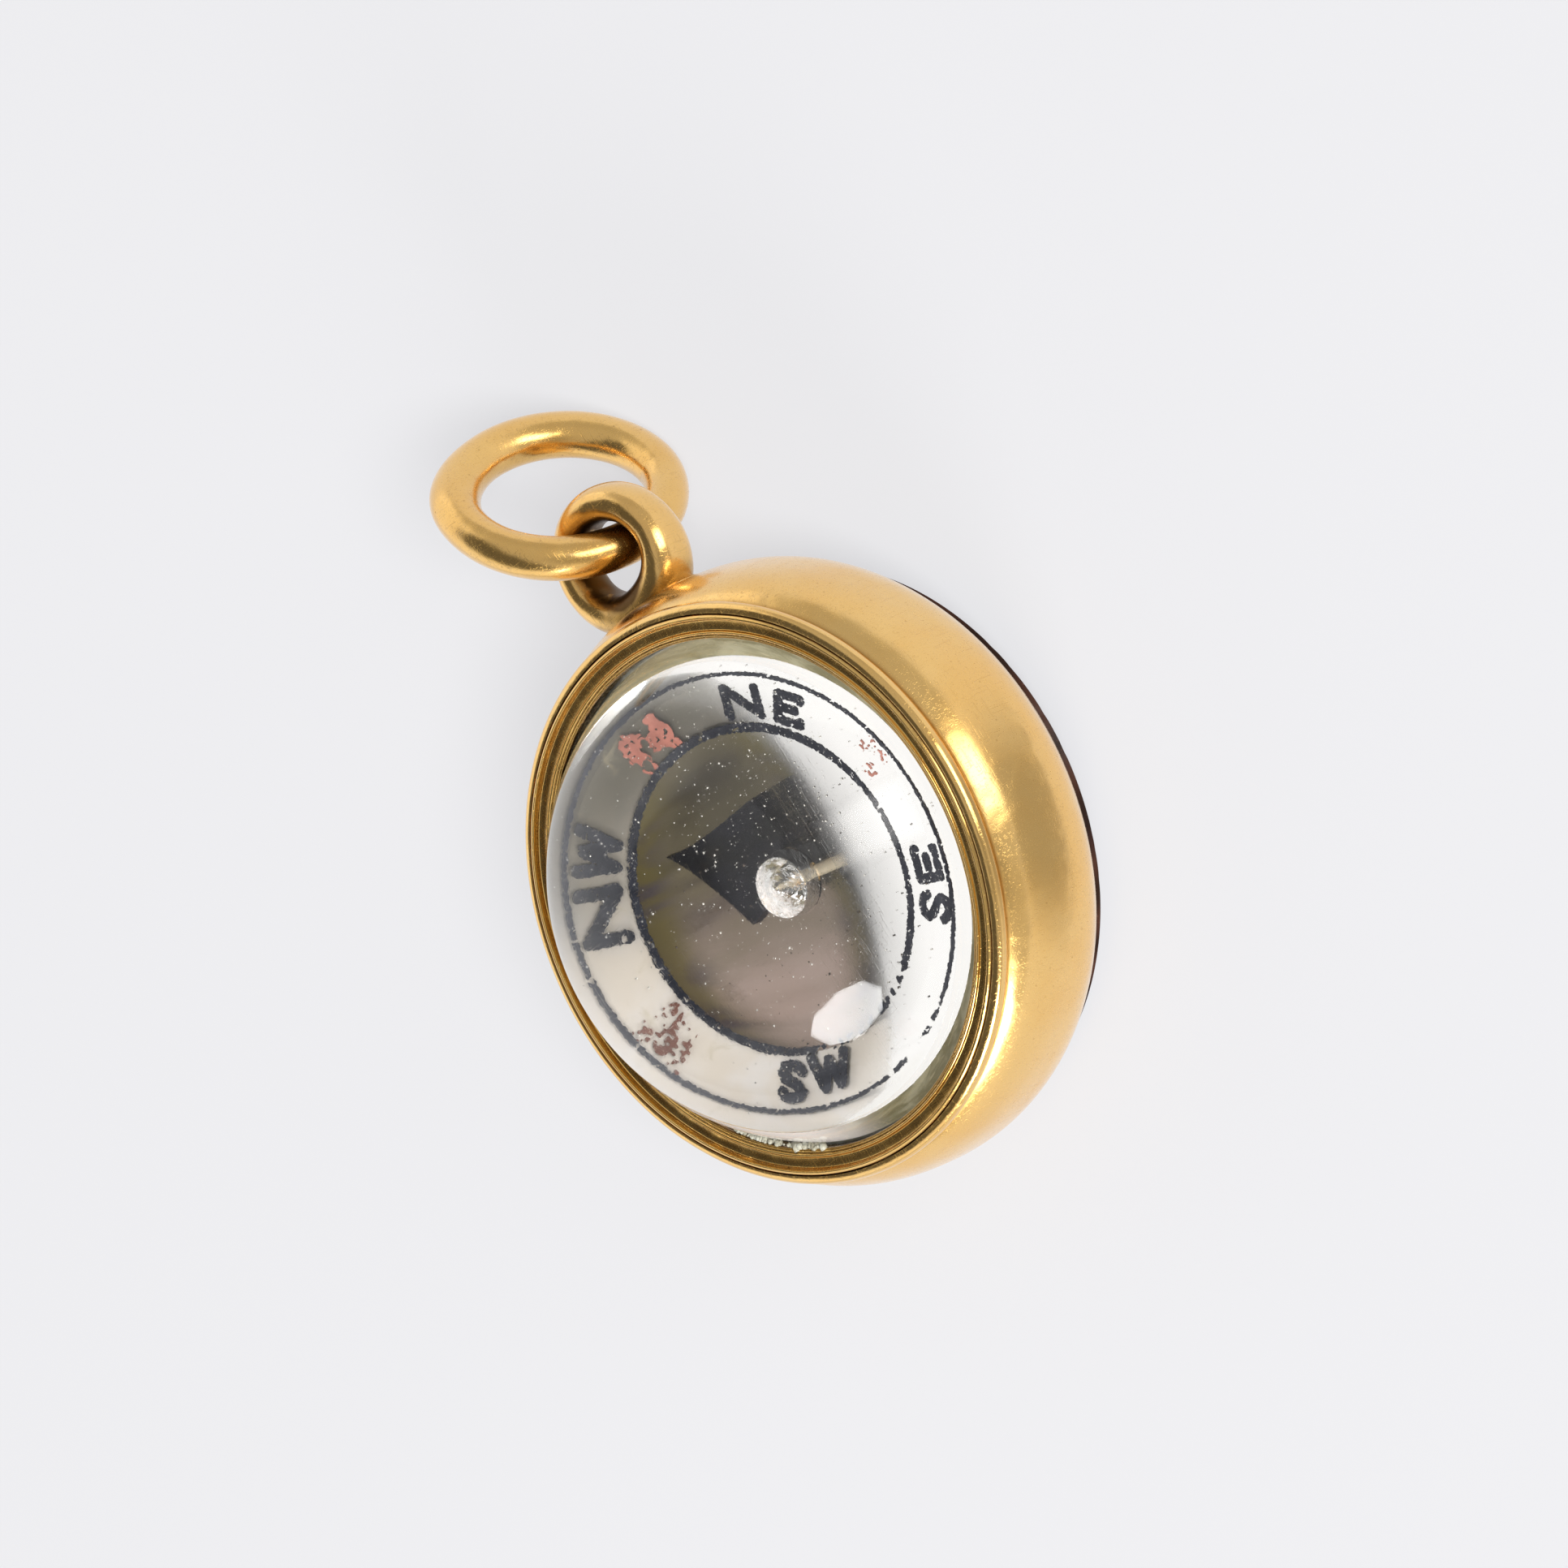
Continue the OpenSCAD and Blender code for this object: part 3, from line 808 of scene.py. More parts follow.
@material
def steel_material(g):
    """Dark blued steel of the needle, brown at worn places."""
    where = g.place()
    cloud = g.noise(where, 1.1, 4.0, 0.6, 0.6)
    grain = g.noise(where, 11.0, 4.0, 0.6)
    hair = scratches(g, where, 9.0)
    tone = g.mix(cloud.step(0.38, 0.66), (0.008, 0.008, 0.013), (0.004, 0.004, 0.005))
    tone = g.mix(cloud.step(0.62, 0.8) * 0.7, tone, (0.030, 0.018, 0.012))
    return g.surface({
        "Base Color": tone, "Metallic": 0.3, "Roughness": 0.34 + grain * 0.15 + hair * 0.1,
        "Normal": g.bump(hair * 0.5 + grain * 0.2, 0.3, 0.000005)})


@material
def cement_material(g, level=1.0):
    """Crumbly cement with brown grains; level dims it."""
    where = g.place()
    lump = g.noise(where, 2.4, 5.0, 0.7)
    grain = g.noise(where, 14.0, 5.0, 0.7)
    holes = g.cells(where, 5.0).step(0.20, 0.05)
    tone = g.mix(lump.step(0.35, 0.7), toned((0.40, 0.37, 0.27), level),
                 toned((0.66, 0.66, 0.56), level))
    tone = g.mix(holes * 0.7 + grain.step(0.62, 0.75) * 0.4, tone,
                 toned((0.16, 0.12, 0.07), min(1.0, level * 4.0)))
    return g.surface({
        "Base Color": tone, "Roughness": 0.75 + grain * 0.2,
        "Normal": g.bump(lump + grain * 0.5 - holes, 0.7, 0.00004)})


@material
def turned_material(g, base, metal=1.0):
    """Turned brass or gold with fine rings about the middle axis."""
    where = g.place()
    x, y, z = g.split(where)
    rings = (away(x, y) * 210.0 + z * 160.0 + g.noise(where, 2.0, 2.0) * 3.0).sine()
    cloud = g.noise(where, 2.2, 4.0, 0.6)
    tone = g.mix(cloud.step(0.4, 0.72), base, toned(base, 0.45))
    return g.surface({
        "Base Color": tone, "Metallic": metal, "Roughness": 0.16 + cloud * 0.18,
        "Normal": g.bump(rings, 0.2, 0.0000015)})


@material
def dust_material(g, base):
    """Matt grains with darker clouds."""
    where = g.place()
    cloud = g.noise(where, 1.8, 3.0, 0.6)
    grain = g.noise(where, 20.0, 3.0, 0.6)
    tone = g.mix(cloud.step(0.35, 0.65), base, toned(base, 0.6))
    return g.surface({
        "Base Color": tone, "Roughness": 0.7 + grain * 0.2,
        "Normal": g.bump(grain, 0.3, 0.000003)})


@material
def floor_material(g):
    """White studio table that keeps a soft part of each shadow."""
    level = settings().floor_level
    matt = g.add("ShaderNodeBsdfDiffuse", None, {"Color": (0.85, 0.85, 0.87, 1.0)})
    glow = g.add("ShaderNodeEmission", None, {
        "Color": (level, level, level * 1.03, 1.0), "Strength": 1.0})
    return g.add("ShaderNodeMixShader", None, {0: 0.84, 1: matt, 2: glow})


@material
def card_material(g, tint, strength, edge):
    """Lamp cloth that fades towards its edge; edge is the share of its reach that fades."""
    here = g.add("ShaderNodeTexCoord", out=3)
    x, y, _ = g.split(here)
    reach = x.absolute().most(y.absolute())
    shown = g.mix(reach.step(1.0, 1.0 - edge), (0.0, 0.0, 0.0), tint)
    return g.add("ShaderNodeEmission", None, {"Color": shown, "Strength": strength})


@material
def flag_material(g):
    """Grey sheet that thins out towards both of its ends."""
    here = g.add("ShaderNodeTexCoord", out=3)
    x, y, _ = g.split(here)
    turn = y.atan2(x)
    share = turn.step(math.radians(FLAG_TO), math.radians(FLAG_TO - 26)) * turn.step(
        math.radians(FLAG_FROM + 8), math.radians(FLAG_FROM + 36))
    grey = g.add("ShaderNodeEmission", None, {"Color": (0.43, 0.415, 0.39, 1.0)})
    clear = g.add("ShaderNodeBsdfTransparent")
    return g.add("ShaderNodeMixShader", None, {0: share, 1: clear, 2: grey})


def give(node, finish):
    """Gives a CAD node that stays in the scene a material."""
    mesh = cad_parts[node].data
    mesh.materials.clear()
    mesh.materials.append(finish)


# Operators


class CharmPiece:
    """Shared form of the operators."""

    bl_options = {"REGISTER", "UNDO"}

    def execute(self, context):
        self.build(settings())
        return {"FINISHED"}


class CHARM_OT_case(CharmPiece, bpy.types.Operator):
    """Rounded gold case, with its wall, its front opening and the recess for the plate"""

    bl_idname = "charm.case"
    bl_label = "Case"

    def build(self, s):
        low, high, back_r = CASE_BACK, CASE_TOP, 8.613
        wall, floor_z, ledge_z = 0.42, 0.95, 4.78
        outer = [p for p in case_side(0.0, 240) if low + 0.01 < p[1] < high - 0.01]
        inner = [p for p in case_side(-wall, 60) if floor_z + 0.01 < p[1] < ledge_z - 0.01]
        edge_low, edge_high = float(case_radius(low)), float(case_radius(high))
        profile = [[back_r, low], [edge_low - 0.03, low], [edge_low + 0.005, low + 0.025]]
        profile += outer[1:-1]
        profile += [[edge_high + 0.01, high - 0.025], [edge_high - 0.03, high]]
        profile += resample([[edge_high - 0.05, high], [MOUTH_R, high]], 0.3)
        profile += [[MOUTH_R, ledge_z], [8.93, ledge_z]] + inner[::-1]
        profile += [[8.70, floor_z], [back_r, floor_z]]

        def dents(r, z, theta):
            soft = ring_noise(theta, z, 2.6, 11) * 0.7 + ring_noise(theta, z, 0.9, 21) * 0.3
            return r - s.dent * soft * ramp(r, 9.16, 9.46), z

        make_piece("case_shell", lathe(profile, s.around, dents),
                   gold("charm_gold_case", s.gold, s.gold_dark, 0.22, 0.02, 0.5, case_painted_shade),
                   "case", ["case_body"], 40)


class CHARM_OT_front(CharmPiece, bpy.types.Operator):
    """Beaded collar and stepped bezel round the glass"""

    bl_idname = "charm.front"
    bl_label = "Collar and bezel"

    def build(self, s):
        self.collar(s)
        self.bezel(s)

    def collar(self, s):
        """Flat ring on the case's top edge, with a bead at its outside."""
        ledge, inside, bead_top = 5.36, 8.985, 5.68
        profile = [[MOUTH_R, CASE_TOP], [9.12, CASE_TOP]]
        profile += arc(9.05, 5.48, 0.268, -68, 100, 26)
        profile += [[inside, bead_top], [inside, ledge], [MOUTH_R, ledge]]

        def wear(r, z, theta):
            soft = ring_noise(theta, z, 1.4, 31)
            return r - 0.01 * soft * ramp(r, 9.0, 9.1), z - 0.006 * soft * ramp(z, 5.6, 5.7)

        make_piece("collar_ring", lathe(profile, s.around, wear),
                   gold("charm_gold_collar", s.gold, s.gold_dark, 0.13, 0.02, 0.4),
                   "case", ["front_collar"], 40)

    def bezel(self, s):
        """Stepped ring inside the collar, whose lip holds the glass."""
        lip_r, wide, foot, tall = 8.163, 0.805, 5.35, 0.40
        # Its top from the collar to the lip, in shares of its width and of its height
        steps = [[1, .9], [.985, .98], [.96, 1.06], [.92, 1.13], [.87, 1.18], [.83, 1.16],
                 [.80, 1.06], [.775, .86], [.755, .69], [.735, .60]]
        steps += [[x, .54 + 1.2 * (x - .53) ** 2] for x in np.linspace(.70, .36, 12)]
        steps += [[.335, .62], [.31, .73], [.28, .80], [.25, .82], [.22, .81], [.19, .77],
                  [.16, .66], [.145, .65], [.125, .69], [.10, .70], [.08, .65], [.065, .58],
                  [.045, .61], [.02, .60], [0, .5]]
        top = soften([[lip_r + wide * x, foot + tall * y] for x, y in steps], False)
        skirt_in, skirt_out, skirt_z = 8.213, 8.42, 4.955
        profile = [[skirt_in, skirt_z], [skirt_out, skirt_z], [skirt_out, foot + 0.002],
                   [lip_r + wide, foot + 0.002]]
        profile += top + [[lip_r, foot + 0.10], [skirt_in, foot]]

        def wear(r, z, theta):
            soft = ring_noise(theta, z, 0.8, 41)
            return r, z - 0.018 * soft * ramp(r, 8.5, 8.3) * ramp(z, 5.4, 5.5)

        make_piece("bezel_ring", lathe(profile, s.around, wear),
                   gold("charm_gold_bezel", toned(s.gold, 0.90, 0.90, 0.80),
                        toned(s.gold_dark, 0.5), 0.10, 0.03, 0.35, bezel_painted_shade),
                   "case", ["front_bezel"], 40)


class CHARM_OT_crystal(CharmPiece, bpy.types.Operator):
    """Solid glass dome with its bevel, its flat underside and the pit for the pivot"""

    bl_idname = "charm.crystal"
    bl_label = "Glass dome"

    def build(self, s):
        start = math.degrees(math.asin((GLASS_EDGE - DOME_MID) / DOME_R))
        dome = arc(0.0, DOME_MID, DOME_R, start, 90.0, 130)
        dome = [[r - 0.002, z] for r, z in dome[:-1]] + [[0.0, DOME_MID + DOME_R]]
        dome[0] = [GLASS_R - 0.006, GLASS_EDGE + 0.008]
        pit_r, pit_top = 0.74, 4.5
        profile = [[0.0, 4.38], [0.04, 4.37], [0.27, 4.076], [0.49, 3.817], [0.655, 3.626],
                   [0.685, FLAT_Z]]
        profile += resample([[0.80, FLAT_Z], [FLAT_R, FLAT_Z]], 0.5)
        profile += [[5.93, 3.617], [6.6, 4.008], [7.4, 4.472], [8.12, 4.893], [8.148, 4.912]]
        shape = shifted(lathe(profile + dome, 384, closed=False), PIT_SHIFT,
                        lambda r, z: ramp(r, 2.6, 1.0) * ramp(z, 4.20, FLAT_Z))
        piece = make_piece("crystal_dome", shape, glass_material("charm_glass"), "case",
                           ["crystal"], 20)
        piece.data.materials.append(bond_material("charm_bond"))
        piece.data.materials.append(pit_material("charm_pit"))
        for face in piece.data.polygons:
            x, y, z = (c / MM for c in face.center)
            if FLAT_R + 0.05 < math.hypot(x, y) < GLASS_R - 0.02 and z < GLASS_EDGE - 0.01:
                face.material_index = 1
            elif (math.hypot(x - PIT_SHIFT[0], y - PIT_SHIFT[1]) < pit_r
                  and FLAT_Z + 0.002 < z < pit_top):
                face.material_index = 2


class CHARM_OT_cement(CharmPiece, bpy.types.Operator):
    """Crumbly cement bed round the glass, with chips that stand up at the lower left"""

    bl_idname = "charm.cement"
    bl_label = "Cement"

    def build(self, s):
        self.bed()
        self.chips()
        self.dirt()

    def bed(self):
        """Ring that fills the room between the glass, its seat and the case."""
        inside, outside, foot, top = 7.63, 8.39, 4.29, 4.90
        profile = resample([[inside, foot], [outside, foot], [outside, top], [8.185, top + 0.015],
                            [8.178, top], [inside, 4.575]], 0.12, True)

        def crumble(r, z, theta):
            return r, z - 0.02 * value_noise(theta * 9.0, z * 3.0 + r * 5.0, 0.25, 51)

        make_piece("cement_bed", lathe(profile, 512, crumble),
                   cement_material("charm_cement_dark", 0.12), "case",
                   ["crystal_cement"])

    def dirt(self):
        """Painted shade: a near-black film in the gap between the lip and the glass at the upper
        left.
        """
        start, span, steps, cuts = 96, 76, 200, 6
        verts, faces = [], []
        for i in range(steps + 1):
            turn = math.radians(start + span * i / steps)
            reach = 0.02 + 0.23 * math.sin(math.pi * i / steps) ** 0.8
            reach *= 0.85 + 0.3 * math.sin(i * 0.37) * math.sin(i * 0.11)
            row = []
            for k in range(cuts):
                r = GLASS_R - 0.005 - reach * (1 - k / (cuts - 1))
                row.append((r, DOME_MID + math.sqrt(DOME_R ** 2 - r * r)))
            row = [(r + 0.008, z + 0.004) for r, z in row] + [(r, z - 0.003) for r, z in row[::-1]]
            verts += [(r * math.cos(turn), r * math.sin(turn), z) for r, z in row]
        n = 2 * cuts
        for i in range(steps):
            for k in range(n):
                m = (k + 1) % n
                faces.append((i * n + k, i * n + n + k, i * n + n + m, i * n + m))
        faces += [tuple(range(n)), tuple(range(steps * n + n - 1, steps * n - 1, -1))]
        make_piece("gap_shade_fill", (verts, faces), cement_material("charm_dirt", 0.02), "case")

    def chips(self):
        """Small crumbs squeezed out between the lip and the glass."""
        count, start, span, top = 120, -139, 26, 5.80
        rng = np.random.default_rng(7)
        verts, faces = [], []
        for _ in range(count):
            along = rng.random()
            turn = math.radians(start + span * along)
            size = 0.045 + 0.12 * rng.random() ** 2 * (0.4 + along)
            out = 8.07 + 0.07 * rng.random()
            mid = Vector((out * math.cos(turn), out * math.sin(turn),
                          5.40 + 0.19 * rng.random() * (0.4 + along)))
            made = bmesh.new()
            bmesh.ops.create_icosphere(made, subdivisions=1, radius=size)
            for v in made.verts:
                v.co = Vector([c * (0.6 + 0.7 * rng.random()) for c in v.co]) + mid
                v.co.z = min(v.co.z, top)
            base = len(verts)
            verts += [tuple(v.co) for v in made.verts]
            faces += [tuple(base + v.index for v in f.verts) for f in made.faces]
            made.free()
        make_piece("cement_crumbs", (verts, faces), cement_material("charm_crumbs", 0.62),
                   "case")


class CHARM_OT_well(CharmPiece, bpy.types.Operator):
    """Silvered plate, cup, floor disc and glass seat under the dome"""

    bl_idname = "charm.well"
    bl_label = "Compass well"

    def build(self, s):
        self.plate()
        self.cup()
        self.floor()
        give("crystal_seat", wall_material("charm_well"))
        give("lower_bearing", turned_material("charm_brass", BRASS))

    def plate(self):
        """Silvered ring under the glass, whose hole lies under the painted inner circle."""
        hole_r, edge_r, foot, top = 3.72, 6.145, 3.362, 3.558
        profile = soften([[4.30, foot], [edge_r, foot], [edge_r, top], [hole_r, top],
                          [hole_r, top - 0.026]])

        def uneven(r, z, theta):
            return r, z - 0.01 * ring_noise(theta, r, 1.8, 61, 4.0) * (z > 3.45)

        shape = shifted(lathe(resample(profile, 0.3, True), 320, uneven), HOLE_SHIFT,
                        lambda r, z: ramp(r, 5.2, 3.8))
        make_piece("silvered_ring", shape, silver_material("charm_silvered"), "case",
                   ["dial_plate"], 40)

    def cup(self):
        """Well with a flange, closed at its foot."""
        out_r, in_r, flange_r = 5.098, 4.802, 8.398
        foot, floor_z, under, top = 0.952, 1.252, 2.752, 3.048
        profile = soften([[0.0, foot], [out_r, foot], [out_r, under], [flange_r, under],
                          [flange_r, top], [in_r, top], [in_r, floor_z], [0.0, floor_z]], False)
        profile = profile[:1] + [p for p in profile if p[0] > 0.03] + profile[-1:]
        make_piece("well_cup", lathe(profile, 256, closed=False), wall_material("charm_well"),
                   "case", ["chamber_cup"], 40)

    def floor(self):
        """Disc on the cup's floor, round the bearing's post."""
        hole_r, edge_r, foot, top = 0.292, 4.785, 1.253, 1.348
        profile = soften([[hole_r, foot], [edge_r, foot], [edge_r, top], [hole_r, top]])

        def worn(r, z, theta):
            x, y = r * np.cos(theta), r * np.sin(theta)
            return r, z - 0.03 * value_noise(x + 20, y + 20, 0.9, 71) * (z > 1.3)

        make_piece("well_floor", lathe(resample(profile, 0.25, True), 256, worn),
                   floor_disc_material("charm_floor_disc"), "case",
                   ["chamber_floor"], 40)


class CHARM_OT_back(CharmPiece, bpy.types.Operator):
    """Hardstone back with its bevels, and the plate and cement behind it"""

    bl_idname = "charm.back"
    bl_label = "Stone back"

    def build(self, s):
        top = CASE_BACK - 0.001
        side = [[0.0, 0.0]] + resample([[1.0, 0.0], [8.60, 0.0]], 0.8)
        side += [[8.655, 0.006], [8.93, 0.228], [9.165, 0.42], [9.193, 0.447], [9.193, 0.462],
                 [9.175, 0.49], [9.09, 0.642], [9.075, top], [5.0, top], [0.0, top]]

        def chip(r, z, theta):
            deep = np.clip(ring_noise(theta, z, 0.5, 81) - 0.55, 0.0, 1.0) * 4
            return r - 0.02 * deep * ramp(r, 8.9, 9.1), z

        make_piece("stone_disc", lathe(side, s.around, chip, closed=False),
                   stone_material("charm_stone"), "case", ["back_stone"], 30)
        give("backing_plate", gold("charm_gold_plate", s.gold, s.gold_dark, 0.25, 0.1))
        give("stone_cement", cement_material("charm_cement"))


class CHARM_OT_movement(CharmPiece, bpy.types.Operator):
    """Needle, collet and staff that turn together"""

    bl_idname = "charm.movement"
    bl_label = "Needle and staff"

    def build(self, s):
        self.staff()
        self.collet()
        self.needle()

    def staff(self):
        """Thin shaft with two grooves and a pivot at each end."""
        shaft, groove = 0.137, 0.125
        profile = [[0.0, 1.792], [0.035, 1.80], [shaft, 2.24], [shaft, 2.5], [groove, 2.52],
                   [groove, 2.56], [shaft, 2.58], [shaft, 3.60], [0.12, 3.62], [0.12, 3.70],
                   [shaft, 3.72], [shaft, 3.885], [0.06, 4.18], [0.02, 4.325], [0.0, 4.335]]
        make_piece("turning_staff", lathe(resample(profile, 0.2), 64, closed=False),
                   turned_material("charm_staff_gold", (0.96, 0.84, 0.62), 0.45),
                   "needle_assembly", ["needle_staff"], 40)

    def collet(self):
        """Flanged sleeve that grips the needle on its staff."""
        bore, sleeve, flange = 0.152, 0.238, 0.418
        foot, step, top = 2.942, 3.088, 3.298
        profile = soften([[bore, foot], [flange, foot], [flange, step], [sleeve, step],
                          [sleeve, top], [bore, top]])
        make_piece("turned_collet", lathe(profile, 96), turned_material("charm_brass", BRASS),
                   "needle_assembly", ["needle_collet"], 40)

    def needle(self):
        """Arrow needle, from its outline and the round hole in its hub."""
        step = 0.02
        x, y = np.meshgrid(np.arange(-3.5, 3.7, step), np.arange(-1.4, 1.41, step),
                           indexing="ij")
        side = np.abs(y)
        # The head's tip, barbs and notch along the needle, and its half widths there
        tip, barb, notch, barb_half, notch_half = 3.60, 1.80, 1.18, 1.28, 0.60
        head = np.minimum.reduce([
            (barb_half - 0.01) * ramp(x, tip, barb) ** 1.3 - side, x - notch, tip - 0.02 - x,
            notch_half + (x - notch) * (barb_half - notch_half) / (barb - notch) - side])
        # The shank between neck and head, and the tail, which tapers from the neck
        tail, neck, neck_half, shank_half = 3.245, 0.9, 0.31, 0.3
        shank = np.minimum.reduce([shank_half - side, x + neck, 1.2 - x])
        point = np.minimum.reduce([
            (x + tail) * neck_half / (tail - neck) - side, 1e-3 - neck - x])
        hub_r, hole_r, under, over = 0.68, 0.252, 3.102, 3.218
        field = np.maximum.reduce([head, shank, point, hub_r - np.hypot(x, y)])
        field = np.minimum(field, np.hypot(x, y) - hole_r)
        points, faces = film(x, y, field, under, over)
        c, n = math.cos(math.radians(NEEDLE_TURN)), math.sin(math.radians(NEEDLE_TURN))
        points = [(px * c - py * n, px * n + py * c, pz) for px, py, pz in points]
        make_piece("arrow_needle", (points, faces), steel_material("charm_blued"),
                   "needle_assembly", ["needle"], 35)


class CHARM_OT_loop(CharmPiece, bpy.types.Operator):
    """Pendant eye and the solder saddle under it"""

    bl_idname = "charm.loop"
    bl_label = "Pendant eye"

    def build(self, s):
        def wear(a, b, turn):
            soft = loop_noise(turn, 40, 3, 0.9, 91)
            return a * (1 - 0.012 * soft), b * (1 - 0.02 * soft)

        verts, faces = swept_ring(EYE_MID, (0, 0, 1), EYE_R, oval(0.598, 0.798, 72, 2 / 2.2), 256,
                                  wear)
        pts = self.narrow(np.array(verts))
        # What reaches into the case ends just under its surface
        radius = np.hypot(pts[:, 0], pts[:, 1])
        pts[:, :2] *= np.maximum(1.0, case_radius(pts[:, 2], -0.06) / radius)[:, None]
        make_piece("eye_ring", (pts.tolist(), faces),
                   gold("charm_gold_eye", toned(s.gold, 1.0, 0.98, 0.95),
                        toned(s.gold_dark, 0.28), 0.17, 0.03, 0.45, eye_painted_shade),
                   "case", ["pendant_eye"], 50)
        self.saddle(s)

    def narrow(self, pts):
        """Fattens the eye towards the case, where its bore is narrower and the bow never comes."""
        x, y = pts[:, 0] - EYE_MID[0], pts[:, 1] - EYE_MID[1]
        reach, turn = np.hypot(x, y), np.arctan2(y, x)
        toward = np.maximum(0.0, np.cos(turn - math.radians(-80)))
        new = reach - ramp(reach, 2.45, 1.25) * 0.36 * toward ** 2
        pts[:, 0] = EYE_MID[0] + new * np.cos(turn)
        pts[:, 1] = EYE_MID[1] + new * np.sin(turn)
        pts[:, 2] = EYE_MID[2] + (pts[:, 2] - EYE_MID[2]) * (1.04 + 0.22 * toward)
        return pts

    def saddle(self, s):
        """Thin solder bed that hugs the case and thins out to its edge."""
        nu, nv = 120, 60
        half_wide, half_tall, thick, depth = 2.10, 0.94, 0.098, 0.05
        top, base = [], []
        for j in range(nv):
            for i in range(nu):
                a = 2 * math.pi * i / nu
                share = j / (nv - 1)
                x = share * half_wide * signed_power(math.cos(a), 0.75)
                z = EYE_MID[2] + share * half_tall * signed_power(math.sin(a), 0.9)
                rise = thick * (1 - share ** 6) * (0.85 + 0.15 * math.sin(9 * a + 5 * share))
                for out, lift in ((top, rise), (base, -depth)):
                    radius = float(case_radius(z)) + lift
                    out.append((x, math.sqrt(max(0.0, radius * radius - x * x)), z))
        n = nu * nv
        # The first row's points all lie in the middle, so only its first one is used
        faces = []
        for j in range(1, nv - 1):
            for i in range(nu):
                k = (i + 1) % nu
                a, b, c, d = j * nu + i, j * nu + k, (j + 1) * nu + k, (j + 1) * nu + i
                faces += [(a, b, c, d), (a + n, d + n, c + n, b + n)]
        for i in range(nu):
            k = (i + 1) % nu
            faces += [(0, nu + k, nu + i), (n, n + nu + i, n + nu + k)]
            a, b = (nv - 1) * nu + i, (nv - 1) * nu + k
            faces.append((a, b, b + n, a + n))
        used = sorted({v for f in faces for v in f})
        place = {v: q for q, v in enumerate(used)}
        both = top + base
        verts = [both[v] for v in used]
        faces = [tuple(place[v] for v in f) for f in faces]
        make_piece("solder_bed", (verts, faces),
                   gold("charm_gold_solder", toned(s.gold, 1.0, 1.05, 1.2), s.gold_dark,
                        0.2, 0.08, 0.6),
                   "case", ["eye_saddle"], 50)


class CHARM_OT_bow(CharmPiece, bpy.types.Operator):
    """Bow ring that swings in the pendant eye"""

    bl_idname = "charm.bow"
    bl_label = "Bow ring"

    def build(self, s):
        axis = Vector(BOW_AXIS).normalized()
        u = axis.orthogonal().normalized()
        w = axis.cross(u)
        link = Vector(LINK) - Vector(BOW_MID)
        linked = math.atan2(link.dot(w), link.dot(u))

        def wear(a, b, turn):
            """Thicker away from the link, and swollen outwards at the picture's left."""
            size = 1 - 0.022 * loop_noise(turn, 50, 3.3, 1.3, 95)
            far = max(0.0, -math.cos(turn - linked)) ** 0.8
            left = max(0.0, -(math.cos(turn) * u + math.sin(turn) * w).dot(RIGHT))
            swell = (0.20 if a > 0 else 0.0) * left ** 8
            return (BOW_WIRE - (BOW_WIRE - a * size) * (1 + 0.12 * far) + a * swell,
                    b * size * (1 + 0.03 * far))

        shape = swept_ring(BOW_MID, BOW_AXIS, BOW_R, oval(BOW_WIRE, BOW_WIRE, 80), 384, wear)
        make_piece("bow_loop", shape,
                   gold("charm_gold_bow", toned(s.gold, 0.97, 0.94, 0.85),
                        toned(s.gold_dark, 0.5), 0.22, 0.03, 0.6, bow_painted_shade),
                   "bow", ["bow_ring"])


# Letters as strokes in a box one unit high: [x0, y0, x1, y1]
STROKES = {
    "N": (1.16, [[0, 0, 0, 1], [0, 1, 1.16, 0], [1.16, 0, 1.16, 1]]),
    "E": (0.80, [[0, 0, 0, 1], [0, 0, 0.80, 0], [0, 0.5, 0.58, 0.5], [0, 1, 0.80, 1],
                 [0.80, 0, 0.80, 0.10], [0.80, 0.90, 0.80, 1]]),
    "W": (1.16, [[0, 1, 0.29, 0], [0.29, 0, 0.58, 0.86], [0.58, 0.86, 0.87, 0],
                 [0.87, 0, 1.16, 1]]),
    "S": (0.66, [[0.66, 0.80, 0.55, 0.96], [0.55, 0.96, 0.33, 1.0], [0.33, 1.0, 0.11, 0.94],
                 [0.11, 0.94, 0.02, 0.77], [0.02, 0.77, 0.14, 0.60], [0.14, 0.60, 0.52, 0.41],
                 [0.52, 0.41, 0.65, 0.24], [0.65, 0.24, 0.55, 0.06], [0.55, 0.06, 0.33, 0.0],
                 [0.33, 0.0, 0.11, 0.05], [0.11, 0.05, 0.0, 0.21]]),
}

# Letter, middle direction in degrees, middle radius, whether its top faces outwards, kind,
# and how far it is stretched along and across the ring
MARKS = (
    ("N", 69.9, 4.43, True, "ink", 1.0, 1.0), ("E", 51.8, 4.38, True, "ink", 1.06, 1.0),
    ("N", 159.6, 4.67, True, "ink", 1.0, 1.0), ("W", 144.2, 4.65, True, "ink", 0.95, 1.0),
    ("S", -37.9, 4.47, False, "ink", 1.12, 1.22), ("E", -23.0, 4.42, False, "ink", 1.22, 1.0),
    ("S", -130.4, 4.51, False, "ink", 1.0, 1.0), ("W", -116.6, 4.34, False, "ink", 1.0, 1.0),
    ("N", 107.9, 4.47, True, "coral", 1.0, 1.0), ("E", 17.2, 4.50, True, "trace", 1.0, 1.0),
    ("W", -168.3, 4.66, True, "flakes", 1.0, 1.0),
)

